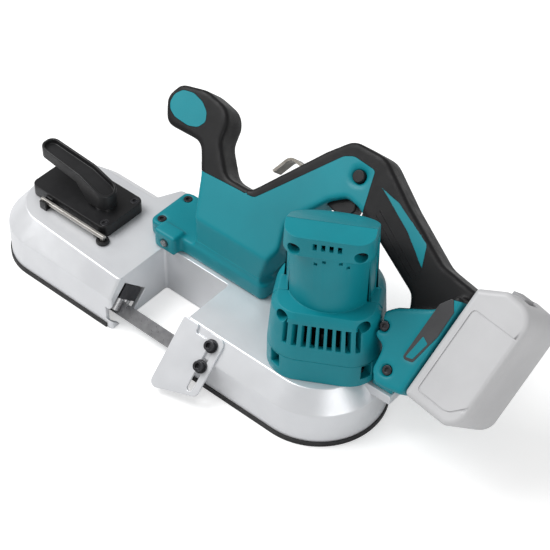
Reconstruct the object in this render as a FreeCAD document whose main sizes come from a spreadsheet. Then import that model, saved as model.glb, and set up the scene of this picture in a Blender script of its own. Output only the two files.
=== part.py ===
"""Portable band saw, cordless: a cast frame carries two wheels, a twisted saw band, a geared
motor, a tensioner and a two-part handle with a slide-on battery.

Frame of the part: X runs along the saw, from the idler end (-X) to the battery end (+X).
The wheels turn about Z. The origin lies in the middle of the spine's flat underside, so that
the saw rests on the plane z = 0. The blade is twisted by 45 degrees where it cuts, and the
handle lies in that same tilted plane.
"""
import FreeCAD, Part
import math
import os
import re
import types

import Sketcher
from FreeCAD import Placement, Rotation, Vector

doc = FreeCAD.newDocument("PortableBandSaw")

# Driving dimensions, in millimetres, degrees or counts
SIZES = {
    # wheels and blade
    "wheel_centres": 262,
    "wheel_setback": 33,
    "tyre_radius": 49,
    "tyre_thickness": 4,
    "tyre_width": 15,
    "wheel_base": 6.5,
    "wheel_rim": 5,
    "wheel_web": 4,
    "hub_radius": 14,
    "blade_gap": 0.4,
    "blade_thickness": 0.5,
    "blade_width": 13,
    "blade_rise": 14,
    "blade_lead": 1,
    "blade_twist": 45,
    "twist_sections": 8,
    # frame casting
    "frame_left": 206,
    "frame_right": 191,
    "frame_front": 94,
    "idler_front": 98,
    "idler_back": 27,
    "spine_back": 40,
    "spine_step": 12,
    "spine_left": 88,
    "spine_right": 62,
    "spine_floor": 4,
    "throat_left": 50,
    "throat_right": 24.5,
    "throat_back": 27.5,
    "deck_height": 52,
    "deck_thickness": 4,
    "crease_height": 36,
    "bevel": 16,
    "idler_bevel": 20,
    "idler_end_bevel": 12,
    "tip_bevel": 13,
    "spine_bevel": 4,
    "frame_wall": 4.5,
    "idler_corner": 48,
    "tip_corner": 3,
    "throat_corner": 3,
    "step_corner": 6,
    "wheel_mouth": 4.5,
    "bumper_height": 5,
    "bumper_depth": 3,
    "bumper_proud": 1.2,
    "bumper_start": 6,
    # drive train
    "motor_setback": 24,
    "spindle_radius": 6,
    "spindle_end": 38.5,
    "spindle_nut_radius": 9,
    "spindle_nut_height": 3,
    "running_clearance": 0.05,
    "free_clearance": 0.3,
    "cover_base": 23,
    "cover_thickness": 6,
    "cover_boss_radius": 18,
    "cover_boss_base": 13,
    "chamber_radius": 55,
    "chamber_wall": 3,
    "spindle_bearing_radius": 14,
    "spindle_bearing_width": 7.5,
    "drive_teeth": 47,
    "pinion_teeth": 9,
    "drive_module": 1,
    "drive_gear_base": 30.5,
    "drive_gear_width": 7.5,
    "wheel_gear_teeth": 60,
    "motor_teeth": 10,
    "motor_module": 0.8,
    "wheel_gear_base": 39.5,
    "wheel_gear_width": 5,
    "backlash": 0.12,
    "shift_share": 0.5,
    "addendum_share": 0.95,
    "dedendum_share": 1.25,
    "pressure_angle": 20,
    "lay_radius": 3,
    "lay_bearing_radius": 8,
    "lay_bearing_width": 5,
    "lay_boss_radius": 11,
    "lay_bearing_top": 50.5,
    "cover_floor": 1,
    # motor
    "motor_base_half": 47.5,
    "motor_base_front": 46,
    "motor_base_corner": 28,
    "motor_skirt_half": 44.5,
    "motor_skirt_front": 43,
    "motor_skirt_corner": 24,
    "motor_body_half": 37.5,
    "motor_body_front": 38.5,
    "motor_body_corner": 15,
    "motor_cap_half": 35.5,
    "motor_cap_front": 36.5,
    "motor_cap_corner": 14,
    "motor_back_share": 0.95,
    "motor_inside_radius": 42,
    "motor_bore_radius": 33,
    "motor_panel_radius": 35.5,
    "motor_panel_low": 124,
    "motor_panel_high": 183,
    "motor_wall": 3,
    "motor_skirt_height": 76,
    "motor_vent_height": 118,
    "motor_shoulder": 127,
    "motor_top": 203,
    "cap_front_height": 201.5,
    "cap_back_height": 166,
    "cap_roof": 4,
    "motor_floor": 60,
    "motor_screw_reach": 44.5,
    "motor_pocket_height": 15,
    "cover_split": 16,
    "cover_screw_seat": 26,
    "cover_boss_start": 6,
    "cover_boss_size": 6.5,
    "shoulder_screw_side": 32.5,
    "shoulder_screw_height": 117,
    "top_screw_side": 26,
    "top_screw_height": 189,
    "motor_turn": 30,
    "motor_bearing_radius": 11,
    "motor_bearing_width": 7,
    "motor_bearing_base": 57,
    "motor_bearing_wall": 3,
    "tail_bearing_radius": 9.5,
    "tail_bearing_width": 6,
    "tail_bearing_wall": 3.5,
    "motor_shaft_radius": 4,
    "motor_tail_radius": 3,
    "motor_nose_radius": 2,
    "motor_nose_end": 39,
    "motor_pinion_width": 6.5,
    "pinion_hole": 6.2,
    "vent_count": 9,
    "vent_step": 8.8,
    "vent_width": 4,
    "vent_base": 91,
    "vent_length": 23,
    "slot_count": 4,
    "slot_step": 10,
    "slot_base": 191,
    "slot_width": 3,
    "slot_length": 6,
    "yoke_base": 109,
    "yoke_length": 44,
    "yoke_wall": 3,
    "magnet_wall": 5,
    "magnet_angle": 130,
    "magnet_margin": 3,
    "armature_gap": 0.8,
    "armature_slots": 12,
    "armature_slot_width": 2.4,
    "armature_slot_depth": 9,
    "winding_length": 6,
    "winding_radius": 20,
    "commutator_radius": 11,
    "commutator_length": 9,
    "commutator_gap": 5,
    "commutator_base": "=yoke_base + yoke_length + commutator_gap",
    "tail_gap": 3,
    "tail_bearing_base": "=commutator_base + commutator_length + tail_gap",
    "brush_width": 6,
    "brush_height": 6,
    "brush_length": 9,
    "brush_plate_gap": 4.5,
    "brush_plate_base": "=yoke_base + yoke_length + brush_plate_gap",
    "brush_plate_thickness": 2.5,
    "brush_plate_bore": 14,
    "brush_box_wall": 1.5,
    "fan_drop": 21,
    "fan_base": "=yoke_base - fan_drop",
    "fan_height": 12,
    "fan_radius": 38,
    "fan_disc": 2,
    "fan_hub_radius": 9,
    "fan_blades": 11,
    "fan_blade_thickness": 1.6,
    "fan_blade_start": 16,
    # blade guides, in the tilted cutting plane
    "guide_inset": 1,
    "guide_length": 24,
    "guide_base": 9.3,
    "guide_depth": 14,
    "guide_half_width": 13,
    "guide_screw_near_share": 0.25,
    "guide_screw_far_share": 0.875,
    "guide_screw_depth_share": 0.75,
    "roller_radius": 5,
    "roller_reach": 2.7,
    "roller_length": 11.5,
    "roller_setback": 5,
    "roller_gap": 0.05,
    "back_roller_radius": 6,
    "back_roller_half": 4,
    "back_roller_setback": 17,
    "journal_radius": 2,
    "journal_length": 6,
    "guide_window_half": 17,
    "guide_window_low": 13,
    "guide_window_high": 24,
    # tensioner
    "lever_pivot": 118,
    "cam_radius": 8,
    "cam_throw": 4,
    "cam_play": 1,
    "cam_base": 52.6,
    "cam_thickness": 4.8,
    "pivot_radius": 6,
    "pivot_ring_radius": 9.5,
    "pivot_ring_height": 1.9,
    "slider_length": 40,
    "slider_width": 40,
    "slider_base": 39.2,
    "slider_thickness": 8.6,
    "slider_neck_width": 16,
    "yoke_bar": 8,
    "yoke_end": 3,
    "yoke_plate_thickness": 5,
    "rail_width": 4,
    "rail_lip": 4,
    "rail_lip_thickness": 3,
    "rail_length": 76,
    "axle_radius": 4,
    "axle_head_radius": 7,
    "axle_head_height": 2.5,
    "idler_bearing_radius": 11,
    "idler_bearing_width": 6.5,
    "idler_bearing_spacer": 1,
    "idler_bearing_wall": 4,
    "spring_radius": 3.2,
    "spring_wire": 0.8,
    "spring_turns": 6,
    "spring_stop": 86,
    "spring_stop_thickness": 4,
    "tension_base_left": 188,
    "tension_base_right": 95,
    "tension_base_front": 57,
    "tension_base_back": 6,
    "tension_base_height": 12,
    "tension_base_corner": 7,
    "tension_roof": 6,
    "tension_pocket_left": 142,
    "tension_pocket_right": 98.5,
    "tension_pocket_half": 15.5,
    "lever_length": 72,
    "lever_hub_radius": 11,
    "lever_thickness": 11,
    "lever_rise": 16,
    "lever_neck": 14,
    "lever_lean": 5,
    "lever_tip_radius": 9,
    "lever_socket": 8,
    "lever_flat": 1,
    "lever_crown": 4,
    "key_radius": 2.5,
    "key_length": 76,
    "key_left": 170,
    "key_setback": 61,
    "key_height": 58,
    "key_leg": 16,
    "key_sides": 6,
    "key_socket_radius": 6,
    "key_socket_height": 3,
    "key_clip_place": 160,
    "key_clip_length": 8,
    "key_clip_wall": 2.5,
    # handle, in the tilted plane
    "handle_plane": 68.3,
    "handle_thickness": 30,
    "handle_length": 338,
    "handle_edge": 3,
    "handle_slope_front": 20,
    "handle_slope_top": 98,
    "screw_sink": 5,
    "grip_skin": 2.5,
    "handle_base_left": 72,
    "handle_base_right": 60,
    "handle_base_front": 24,
    "handle_base_back": 26,
    "handle_base_height": 16,
    "handle_base_corner": 6,
    "handle_boss_front": 33,
    "handle_boss_left": 58,
    "handle_boss_right": 34,
    "handle_boss_height": 20,
    "foot_half_width": 35,
    "foot_lug_left": 180,
    "foot_lug_right": 206,
    "foot_lug_front": 36,
    "foot_lug_top": 50,
    "foot_lug_height": 10,
    "foot_tab_left": 185,
    "foot_tab_height": 12,
    "foot_trim": 207,
    "foot_screw_x": 200.5,
    "foot_screw_y": 18,
    "band_thickness": 1.2,
    "lens_radius": 3.5,
    "lens_proud": 1,
    "lens_depth": 6,
    "lens_height": 61,
    "lens_place": 46,
    "button_radius": 5.5,
    "button_length": 11,
    "button_proud": 2.6,
    "button_dish_radius": 9,
    "button_dish": 1.4,
    "button_travel": 3,
    "trigger_half_width": 7.5,
    "trigger_travel": 6,
    "trigger_steps": 6,
    "trigger_edge": 1.5,
    "switch_half_width": 9,
    "hook_thickness": 2.5,
    "hook_width": 14,
    "hook_pivot_radius": 3,
    "hook_eye_radius": 5,
    "hook_pin_depth": 8,
    "hook_gap": 1,
    # battery
    "battery_length": 111,
    "battery_width": 75,
    "battery_height": 53,
    "battery_edge": 5,
    "battery_lean": 6.5,
    "battery_gap": 0.3,
    "rail_height": 5,
    "rail_half_width": 19,
    "rail_start": 8,
    "rail_run": 62,
    "terminal_start": 15,
    "terminal_height": 4,
    "terminal_length": 30,
    "terminal_half_width": 14,
    "release_width": 22,
    "release_height": 12,
    "release_depth": 6,
    "release_proud": 1,
    "release_drop": 17,
    "release_travel": 4,
    # work stop
    "stop_thickness": 2.5,
    "stop_width": 46,
    "stop_length": 68,
    "stop_flange": 15,
    "stop_top": 19,
    "stop_slant": 15,
    "stop_notch": 13,
    "stop_notch_depth": 7,
    "stop_bolt_place": 34,
    "stop_bolt_first": 28.4,
    "stop_bolt_pitch": 19.4,
    "stop_slot_radius": 3,
    "stop_slot_end": 71,
    "stop_bolt_radius": 2.5,
    "stop_bolt_length": 12,
    "stop_head_radius": 4.5,
    "stop_head_height": 5,
    "stop_washer_radius": 6,
    "stop_washer_height": 1.5,
    "stop_play": 0.1,
    "stop_flange_gap": 0.3,
    "slot_round_share": 0.99,
    # screws
    "screw_radius": 2,
    "screw_head_radius": 4,
    "screw_head_height": 3,
    "screw_pocket_radius": 5,
    "screw_length": 12,
    # all cuts run past the solid by this much
    "overrun": 2,
}
sheet = doc.addObject("Spreadsheet::Sheet", "Sizes")
for row, (alias, value) in enumerate(SIZES.items(), start=1):
    sheet.set(f"A{row}", alias)
    sheet.set(f"B{row}", str(value))
    sheet.setAlias(f"B{row}", alias)
doc.recompute()
size = types.SimpleNamespace(**{alias: float(sheet.get(alias)) for alias in SIZES})

NODES = []
ORIGIN = Vector(0, 0, 0)
UP = Vector(0, 0, 1)
ALONG = Vector(1, 0, 0)


# Helpers that make document objects bound to the sheet

def sheet_words(formula):
    """Write a formula of aliases as an expression on the sheet's cells."""
    return re.sub(r"[a-z][a-z_]*", lambda found: "Sizes." + found.group(), formula)


def bind(thing, **formulas):
    for name, formula in formulas.items():
        thing.setExpression(name, sheet_words(formula))
    return thing


def place(thing, x="0", y="0", z="0", turn=None):
    if turn:
        thing.Placement = Placement(ORIGIN, turn)
    for axis, formula in zip("xyz", (x, y, z)):
        thing.setExpression("Placement.Base." + axis, sheet_words(formula))
    return thing


def cylinder(radius, height, x="0", y="0", z="0", turn=None):
    made = doc.addObject("Part::Cylinder", "Cylinder")
    return place(bind(made, Radius=radius, Height=height), x, y, z, turn)


def block(length, width, height, x="0", y="0", z="0", turn=None):
    made = doc.addObject("Part::Box", "Block")
    return place(bind(made, Length=length, Width=width, Height=height), x, y, z, turn)


def join(*things):
    made = doc.addObject("Part::MultiFuse", "Join")
    made.Shapes = list(things)
    return made


def cut(base, *tools):
    made = doc.addObject("Part::Cut", "Cut")
    made.Base = base
    made.Tool = tools[0] if len(tools) == 1 else join(*tools)
    return made


def group(*things):
    made = doc.addObject("Part::Compound", "Group")
    made.Links = list(things)
    return made


def value_of(formula):
    """Work out a formula of aliases from the sheet."""
    probe = doc.addObject("Part::Cylinder", "Probe")
    probe.setExpression("Placement.Base.x", sheet_words(formula))
    probe.recompute()
    worth = probe.Placement.Base.x
    doc.removeObject(probe.Name)
    return worth


def profile(body, role, points):
    """A closed polygon on one of the body's origin planes, each corner bound to the sheet."""
    sketch = body.newObject("Sketcher::SketchObject", "Profile")
    plane = next(item for item in body.Origin.OriginFeatures if item.Role == role)
    sketch.AttachmentSupport = (plane, [""])
    sketch.MapMode = "FlatFace"
    corners = [Vector(value_of(across), value_of(along), 0) for across, along in points]
    for number, corner in enumerate(corners):
        sketch.addGeometry(Part.LineSegment(corner, corners[(number + 1) % len(corners)]), False)
    for number in range(len(corners)):
        following = (number + 1) % len(corners)
        sketch.addConstraint(Sketcher.Constraint("Coincident", number, 2, following, 1))
    for number, (across, along) in enumerate(points):
        for kind, formula, worth in (("DistanceX", across, corners[number].x),
                                     ("DistanceY", along, corners[number].y)):
            index = sketch.addConstraint(Sketcher.Constraint(kind, number, 1, worth))
            sketch.setExpression(f"Constraints[{index}]", sheet_words(formula))
    return sketch


def turned(*points):
    """A body turned about Z from a profile of (radius, height) points."""
    body = doc.addObject("PartDesign::Body", "Turned")
    sketch = profile(body, "XZ_Plane", points)
    feature = body.newObject("PartDesign::Revolution", "Revolution")
    feature.Profile = sketch
    feature.ReferenceAxis = (sketch, ["V_Axis"])
    feature.Angle = 360
    return body


def plate(height, *points):
    """A body padded along Z from a polygon of (x, y) points."""
    body = doc.addObject("PartDesign::Body", "Plate")
    sketch = profile(body, "XY_Plane", points)
    feature = body.newObject("PartDesign::Pad", "Pad")
    feature.Profile = sketch
    bind(feature, Length=height)
    return body


def shaped(shape):
    """A free-form piece whose shape is worked out from the sheet's values."""
    made = doc.addObject("Part::Feature", "Shaped")
    made.Shape = shape
    return made


def node(name, thing):
    """Name a finished sub-part."""
    thing.Label = name
    NODES.append(thing)
    return thing


# Helpers for free-form outlines

def rounded(corners):
    """A closed wire through (x, y, radius) corners, each rounded by a tangent arc."""
    arcs = []
    for number, (x, y, radius) in enumerate(corners):
        here = Vector(x, y, 0)
        before = Vector(corners[number - 1][0], corners[number - 1][1], 0)
        after = Vector(corners[(number + 1) % len(corners)][0], corners[(number + 1) % len(corners)][1],
                       0)
        back = (before - here).normalize()
        ahead = (after - here).normalize()
        half = back.getAngle(ahead) / 2
        reach = radius / math.tan(half)
        middle = here + (back + ahead).normalize() * (radius / math.sin(half) - radius)
        arcs.append((here + back * reach, middle, here + ahead * reach))
    edges = []
    for number, (first, middle, last) in enumerate(arcs):
        if corners[number][2] > 0:
            edges.append(Part.Arc(first, middle, last).toShape())
        following = arcs[(number + 1) % len(arcs)][0]
        if last.distanceToPoint(following) > Part.LineSegment(first, following).length() * TINY_SHARE:
            edges.append(Part.LineSegment(last, following).toShape())
    return Part.Wire(edges)


def prism(wire, low, high):
    solid = Part.Face(wire).extrude(UP * (high - low))
    solid.translate(UP * low)
    return solid


def brick(low_x, high_x, low_y, high_y, low_z, high_z):
    return Part.makeBox(high_x - low_x, high_y - low_y, high_z - low_z, Vector(low_x, low_y, low_z))


def rod(radius, start, end):
    return Part.makeCylinder(radius, (end - start).Length, start, end - start)


def tilted(shape):
    """Turn a shape from the handle's flat plane into the tilted cutting plane."""
    turned_shape = shape.copy()
    turned_shape.rotate(ORIGIN, ALONG, size.blade_twist)
    return turned_shape


TINY_SHARE = 1e-6

# Places that several pieces share
drive_x = size.wheel_centres / 2
wheel_y = -size.wheel_setback
motor_y = -size.motor_setback
deck = size.deck_height
roof = deck - size.deck_thickness
cut_y = wheel_y - size.tyre_radius - size.blade_gap - size.blade_thickness / 2 - size.blade_lead
diagonal = math.sin(math.radians(size.blade_twist))
blade_q = (cut_y + size.blade_rise) * diagonal
blade_n = (size.blade_rise - cut_y) * diagonal
near_face = size.handle_plane + size.handle_thickness / 2
far_face = size.handle_plane - size.handle_thickness / 2
bevel_n = (size.crease_height + size.frame_front) * diagonal
lay_reach = (size.drive_teeth + size.pinion_teeth) * size.drive_module / 2
lay_offset = (size.wheel_setback - size.motor_setback) / 2
lay_x = drive_x - math.sqrt(lay_reach ** 2 - lay_offset ** 2)
lay_y = wheel_y + lay_offset

# Screws: round heads on plain shanks, all of one size

def screw(place_at, into):
    """A screw whose head sits on place_at and whose shank runs along into."""
    direction = Vector(into).normalize()
    head = rod(size.screw_head_radius, place_at, place_at - direction * size.screw_head_height)
    shank = rod(size.screw_radius, place_at, place_at + direction * size.screw_length)
    return head.fuse(shank).removeSplitter()


def around_motor(radius, angle, height):
    """A point round the motor's axis, counted from the side that faces the front right."""
    turn = math.radians(size.motor_turn + angle)
    return Vector(drive_x + radius * math.sin(turn), motor_y - radius * math.cos(turn), height)


def cover_point(side, ahead, height):
    """A point of the motor's cover: to its right, ahead of the motor's axis, and up."""
    return Vector(drive_x, motor_y, height) + motor_right * side + motor_front * ahead


DOWN = Vector(0, 0, -1)
MOTOR_SCREW_ANGLES = (-44, 44, 195)
motor_seats = [around_motor(size.motor_screw_reach, angle,
                            size.motor_floor) for angle in MOTOR_SCREW_ANGLES]
motor_right = around_motor(1, math.degrees(math.pi / 2), 0) - Vector(drive_x, motor_y, 0)
motor_front = around_motor(1, 0, 0) - Vector(drive_x, motor_y, 0)
COVER_SCREW_PLACES = [(side * reach, height) for side in (-1, 1)
                      for reach, height in ((size.shoulder_screw_side, size.shoulder_screw_height),
                                            (size.top_screw_side, size.top_screw_height))]
base_seat = deck + size.handle_base_height - size.screw_head_height
base_side = size.screw_pocket_radius + size.handle_base_corner / 2
handle_seats = [Vector(x, y, base_seat)
                for x in (-size.handle_base_left + base_side, size.handle_base_right - base_side)
                for y in (-size.handle_base_front + base_side, size.handle_base_back - base_side)]
tension_seat = deck + size.tension_base_height - size.screw_head_height
tension_side = size.screw_head_radius + size.frame_wall / 2
tension_seats = [Vector(-size.tension_base_left + tension_side, wheel_y + size.tension_pocket_half,
                        tension_seat),
                 Vector(-size.tension_base_right - tension_side, -size.tension_base_front + tension_side,
                        tension_seat),
                 Vector(-size.tension_base_right - tension_side, -size.tension_base_back - tension_side,
                        tension_seat)]


# Main frame: one aluminium casting, open below round both wheels, closed along the spine

def frame_corners(inset, at_deck):
    """Corners of the casting's plan, at its rim or at its deck, drawn in by inset all round."""
    s = size
    house_back = wheel_y + s.frame_right - drive_x
    round_end = s.frame_right - drive_x
    end_bevel = s.idler_end_bevel
    # x, y, radius, share of the inset along x and y, shift and change of radius at the deck
    table = [
        (-s.frame_left, -s.idler_front, s.idler_corner, 1, 1, end_bevel, s.idler_bevel, -end_bevel),
        (-s.throat_left, -s.idler_front, s.tip_corner, -1, 1, 0, s.tip_bevel, 0),
        (-s.throat_left, -s.throat_back, s.throat_corner, -1, 1, 0, 0, 0),
        (s.throat_right, -s.throat_back, s.throat_corner, 1, 1, 0, 0, 0),
        (s.throat_right, -s.frame_front, s.tip_corner, 1, 1, 0, s.bevel, 0),
        (s.frame_right, -s.frame_front, round_end, -1, 1, -s.bevel, s.bevel, -s.bevel),
        (s.frame_right, house_back, round_end, -1, -1, -s.bevel, -s.bevel, -s.bevel),
        (s.spine_right + s.spine_step, house_back, s.step_corner, 0, -1, 0, -s.spine_bevel, 0),
        (s.spine_right, s.spine_back, s.step_corner, 0, -1, 0, -s.spine_bevel, 0),
        (-s.spine_left, s.spine_back, s.step_corner, 0, -1, 0, -s.spine_bevel, 0),
        (-s.spine_left - s.spine_step, s.idler_back, s.step_corner, 0, -1, 0, -s.bevel, 0),
        (-s.frame_left, s.idler_back, s.idler_corner, 1, -1, end_bevel, -s.bevel, -end_bevel),
    ]
    corners = []
    for x, y, radius, inset_x, inset_y, shift_x, shift_y, shift_radius in table:
        if at_deck:
            x, y, radius = x + shift_x, y + shift_y, radius + shift_radius
        corners.append((x + inset * inset_x, y + inset * inset_y, max(radius - inset, s.tip_corner / 2)))
    return corners


def frame_shell(inset, low, crease, top):
    """Upright walls from low to the crease, and sloping walls from there to the top."""
    rim = rounded(frame_corners(inset, False))
    walls = prism(rim, low, crease)
    lower = rim.copy()
    lower.translate(UP * crease)
    upper = rounded(frame_corners(inset, True))
    upper.translate(UP * top)
    return walls.fuse(Part.makeLoft([lower, upper], True, True))


def bumper_ring():
    """The strip of rubber round the casting's lower rim, before it is cut at the throat."""
    outer = prism(rounded(frame_corners(-size.bumper_proud, False)), 0, size.bumper_height)
    return outer.cut(prism(rounded(frame_corners(size.bumper_depth, False)), -size.overrun,
                           size.bumper_height + size.overrun))


def guide_box(side, low_p, high_p, low_q, high_q, low_n, high_n):
    """A tilted box beside the throat: side -1 is the idler arm, +1 the drive housing.

    p counts from the throat's wall into the arm, q from the blade's middle line, n from its face.
    """
    wall_x = size.throat_right if side > 0 else -size.throat_left
    ends = sorted((wall_x + side * low_p, wall_x + side * high_p))
    return tilted(brick(ends[0], ends[1], blade_q + low_q, blade_q + high_q, blade_n + low_n,
                        blade_n + high_n))


def guide_point(side, along, across, out):
    wall_x = size.throat_right if side > 0 else -size.throat_left
    return Vector(wall_x + side * along, blade_q + across, blade_n + out)


s = size
past = s.overrun
far = s.frame_left + s.frame_right
ring = bumper_ring()
bumper_idler_shape = ring.common(brick(-far, -s.throat_left - s.bumper_start, -far, far, -past, deck))
bumper_idler_shape = bumper_idler_shape.cut(
    brick(-s.spine_left - s.spine_step, far, -s.throat_back, far, -past, deck))
bumper_drive_shape = ring.common(brick(s.throat_right + s.bumper_start, far, -far, far, -past, deck))
bumper_drive_shape = bumper_drive_shape.cut(brick(-far, s.spine_right + s.spine_step, -s.throat_back, far,
                                                  -past, deck))

casting_hull = frame_shell(0, 0, s.crease_height, deck)
hollow = frame_shell(s.frame_wall, s.spine_floor, s.crease_height - s.frame_wall / 2, roof)
mouth = prism(rounded(frame_corners(s.frame_wall, False)), -past, s.spine_floor)
mouth = mouth.cut(brick(-s.throat_left - s.wheel_mouth, s.throat_right + s.wheel_mouth, -far, far, -far,
                        far))
casting = casting_hull.cut(hollow).cut(mouth)

# walls and bosses inside the casting
drive_centre = Vector(drive_x, wheel_y, 0)
chamber = rod(s.chamber_radius + s.chamber_wall, drive_centre + UP * s.cover_base,
              drive_centre + UP * roof)
chamber = chamber.cut(rod(s.chamber_radius, drive_centre, drive_centre + UP * roof))
lay_centre = Vector(lay_x, lay_y, 0)
lay_boss_base = s.lay_bearing_top - s.lay_bearing_width
lay_boss = rod(s.lay_boss_radius, lay_centre + UP * lay_boss_base, lay_centre + UP * roof)
slider_half = s.slider_width / 2 + s.free_clearance
rail_base = s.slider_base - s.free_clearance - s.rail_lip_thickness
rail_x = -drive_x - s.rail_length / 2
rails = []
for side in (-1, 1):
    inner, outer = sorted((wheel_y + side * slider_half, wheel_y + side * (slider_half + s.rail_width)))
    rails.append(brick(rail_x, rail_x + s.rail_length, inner, outer, rail_base, roof))
    inner, outer = sorted((wheel_y + side * (slider_half - s.rail_lip), wheel_y + side * slider_half))
    rails.append(brick(rail_x, rail_x + s.rail_length, inner, outer, rail_base,
                       rail_base + s.rail_lip_thickness))
stop_wall = brick(-s.spring_stop, -s.spring_stop + s.spring_stop_thickness,
                  wheel_y - slider_half - s.rail_width, wheel_y + slider_half + s.rail_width, rail_base, roof)
guide_top = s.guide_half_width
pads = [guide_box(side, s.frame_wall, s.guide_length + s.guide_inset, s.guide_base,
                  s.guide_base + s.guide_depth, guide_top, bevel_n - s.frame_wall / 2 - blade_n)
        for side in (-1, 1)]
casting = casting.multiFuse([chamber.common(casting_hull), lay_boss, stop_wall] + rails + pads)

# where the guide rollers run, from the throat's wall and the blade's middle
roller_n = s.blade_thickness / 2 + s.roller_gap + s.roller_radius
back_q = s.blade_width / 2 + s.roller_gap + s.back_roller_radius
roller_p = s.guide_inset + s.roller_setback
back_p = s.guide_inset + s.back_roller_setback
roller_low = -s.roller_reach

# openings through the casting
slot_left = -s.lever_pivot - s.cam_throw - s.cam_radius - s.cam_play - s.yoke_bar - s.cam_play
slot_right = slot_left + s.yoke_bar + 2 * s.cam_throw + 2 * s.cam_play
holes = [bumper_idler_shape, bumper_drive_shape,
         rod(s.pinion_hole, Vector(drive_x, motor_y, roof - past), Vector(drive_x, motor_y, deck + past)),
         rod(s.lay_bearing_radius, lay_centre + UP * (lay_boss_base - past),
             lay_centre + UP * s.lay_bearing_top),
         brick(slot_left, slot_right, wheel_y - s.slider_neck_width / 2 - s.free_clearance,
               wheel_y + s.slider_neck_width / 2 + s.free_clearance, roof - past, deck + past),
         rod(s.key_radius + s.free_clearance,
             Vector(-s.key_left + s.key_length, -s.key_setback, roof - past),
             Vector(-s.key_left + s.key_length, -s.key_setback, deck + past))]
for side in (-1, 1):
    holes.append(guide_box(side, -past, s.frame_wall + past, -s.guide_window_low, s.guide_window_high,
                           -s.guide_window_half, s.guide_window_half))
for side in (-1, 1):
    for out in (-roller_n, roller_n):
        holes.append(tilted(rod(s.roller_radius + s.free_clearance,
                                guide_point(side, roller_p, roller_low - s.free_clearance, out),
                                guide_point(side, roller_p, s.guide_base, out))))
stop_bolt_p = s.throat_right + s.stop_bolt_place
stop_bolt_q = (-s.stop_bolt_first, -s.stop_bolt_first - s.stop_bolt_pitch)
for bolt_q in stop_bolt_q:
    holes.append(tilted(rod(s.stop_bolt_radius, Vector(stop_bolt_p, bolt_q, bevel_n - s.stop_bolt_length),
                            Vector(stop_bolt_p, bolt_q, bevel_n + past))))
COVER_SCREW_ANGLES = (45, 135, 225, 315)
cover_screw_ring = s.chamber_radius - s.screw_pocket_radius
frame_screw_seats = []
for degrees in COVER_SCREW_ANGLES:
    turn = math.radians(degrees)
    frame_screw_seats.append(drive_centre + Vector(cover_screw_ring * math.cos(turn),
                                                   cover_screw_ring * math.sin(turn),
                                                   s.cover_base + s.screw_head_height))
cover_lugs = [rod(s.screw_pocket_radius + s.chamber_wall / 2,
                  Vector(seat.x, seat.y, s.cover_base + s.cover_thickness),
            Vector(seat.x, seat.y, roof))
        for seat in frame_screw_seats]
casting = casting.multiFuse([lug.common(casting_hull) for lug in cover_lugs])
cover_screws = [screw(seat, UP) for seat in frame_screw_seats]
guide_screw_reach = (s.guide_length * s.guide_screw_near_share, s.guide_length * s.guide_screw_far_share)
guide_screw_q = s.guide_base + s.guide_depth * s.guide_screw_depth_share
guide_screws = []
for side in (-1, 1):
    wall_x = s.throat_right if side > 0 else -s.throat_left
    for reach in guide_screw_reach:
        foot = Vector(wall_x + side * (s.guide_inset + reach), blade_q + guide_screw_q,
                      blade_n + guide_top - s.screw_length / 2)
        guide_screws.append(tilted(screw(foot, UP)))
foot_lug = brick(s.foot_lug_left, s.foot_lug_right, -s.foot_lug_front, 0,
                 s.foot_lug_top - s.foot_lug_height, s.foot_lug_top)
foot_seat = Vector(s.foot_screw_x, -s.foot_screw_y, s.foot_lug_top - s.foot_lug_height)
housing_screw_shapes = [screw(seat, DOWN) for seat in motor_seats + handle_seats + tension_seats]
housing_screw_shapes += [screw(cover_point(side, s.cover_screw_seat, height), -motor_front)
                         for side, height in COVER_SCREW_PLACES]
housing_screw_shapes.append(screw(foot_seat, UP))
casting = casting.fuse(foot_lug.cut(hollow))
casting = casting.cut(Part.makeCompound(holes))
casting = casting.cut(Part.makeCompound(cover_screws + guide_screws + housing_screw_shapes))
main_frame = node("main_frame", shaped(casting.removeSplitter()))
node("bumper_idler", shaped(bumper_idler_shape))
node("bumper_drive", shaped(bumper_drive_shape))
node("frame_screws", shaped(Part.makeCompound(cover_screws + guide_screws)))

# Gear teeth: involute flanks on three points each, thinned by the backlash

def gear(teeth, module, shift, base, width, bore, phase):
    """A spur gear about Z, with the middle of one tooth at the angle phase."""
    pitch = teeth * module / 2
    pressure = math.radians(size.pressure_angle)
    round_base = pitch * math.cos(pressure)
    tip = pitch + module * (size.addendum_share + shift)
    root = pitch - module * (size.dedendum_share - shift)
    half_pitch_tooth = (module * (math.pi / 2 + 2 * shift * math.tan(pressure)) - size.backlash) / 2 / pitch

    def half_angle(radius):
        roll = math.acos(min(1, round_base / max(radius, round_base)))
        return half_pitch_tooth + math.tan(pressure) - pressure - (math.tan(roll) - roll)

    flank = [root, max(round_base, (root + pitch) / 2), pitch, (pitch + tip) / 2, tip]
    points = []
    for tooth in range(int(teeth)):
        middle = phase + tooth * 2 * math.pi / teeth
        for radius in flank:
            turn = middle - half_angle(radius)
            points.append(Vector(radius * math.cos(turn), radius * math.sin(turn), base))
        for radius in reversed(flank):
            turn = middle + half_angle(radius)
            points.append(Vector(radius * math.cos(turn), radius * math.sin(turn), base))
    blank = Part.Face(Part.makePolygon(points + points[:1])).extrude(UP * width)
    return blank.cut(rod(bore, UP * (base - size.overrun), UP * (base + width + size.overrun)))


def moved(shape, x, y):
    shifted = shape.copy()
    shifted.translate(Vector(x, y, 0))
    return shifted


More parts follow.
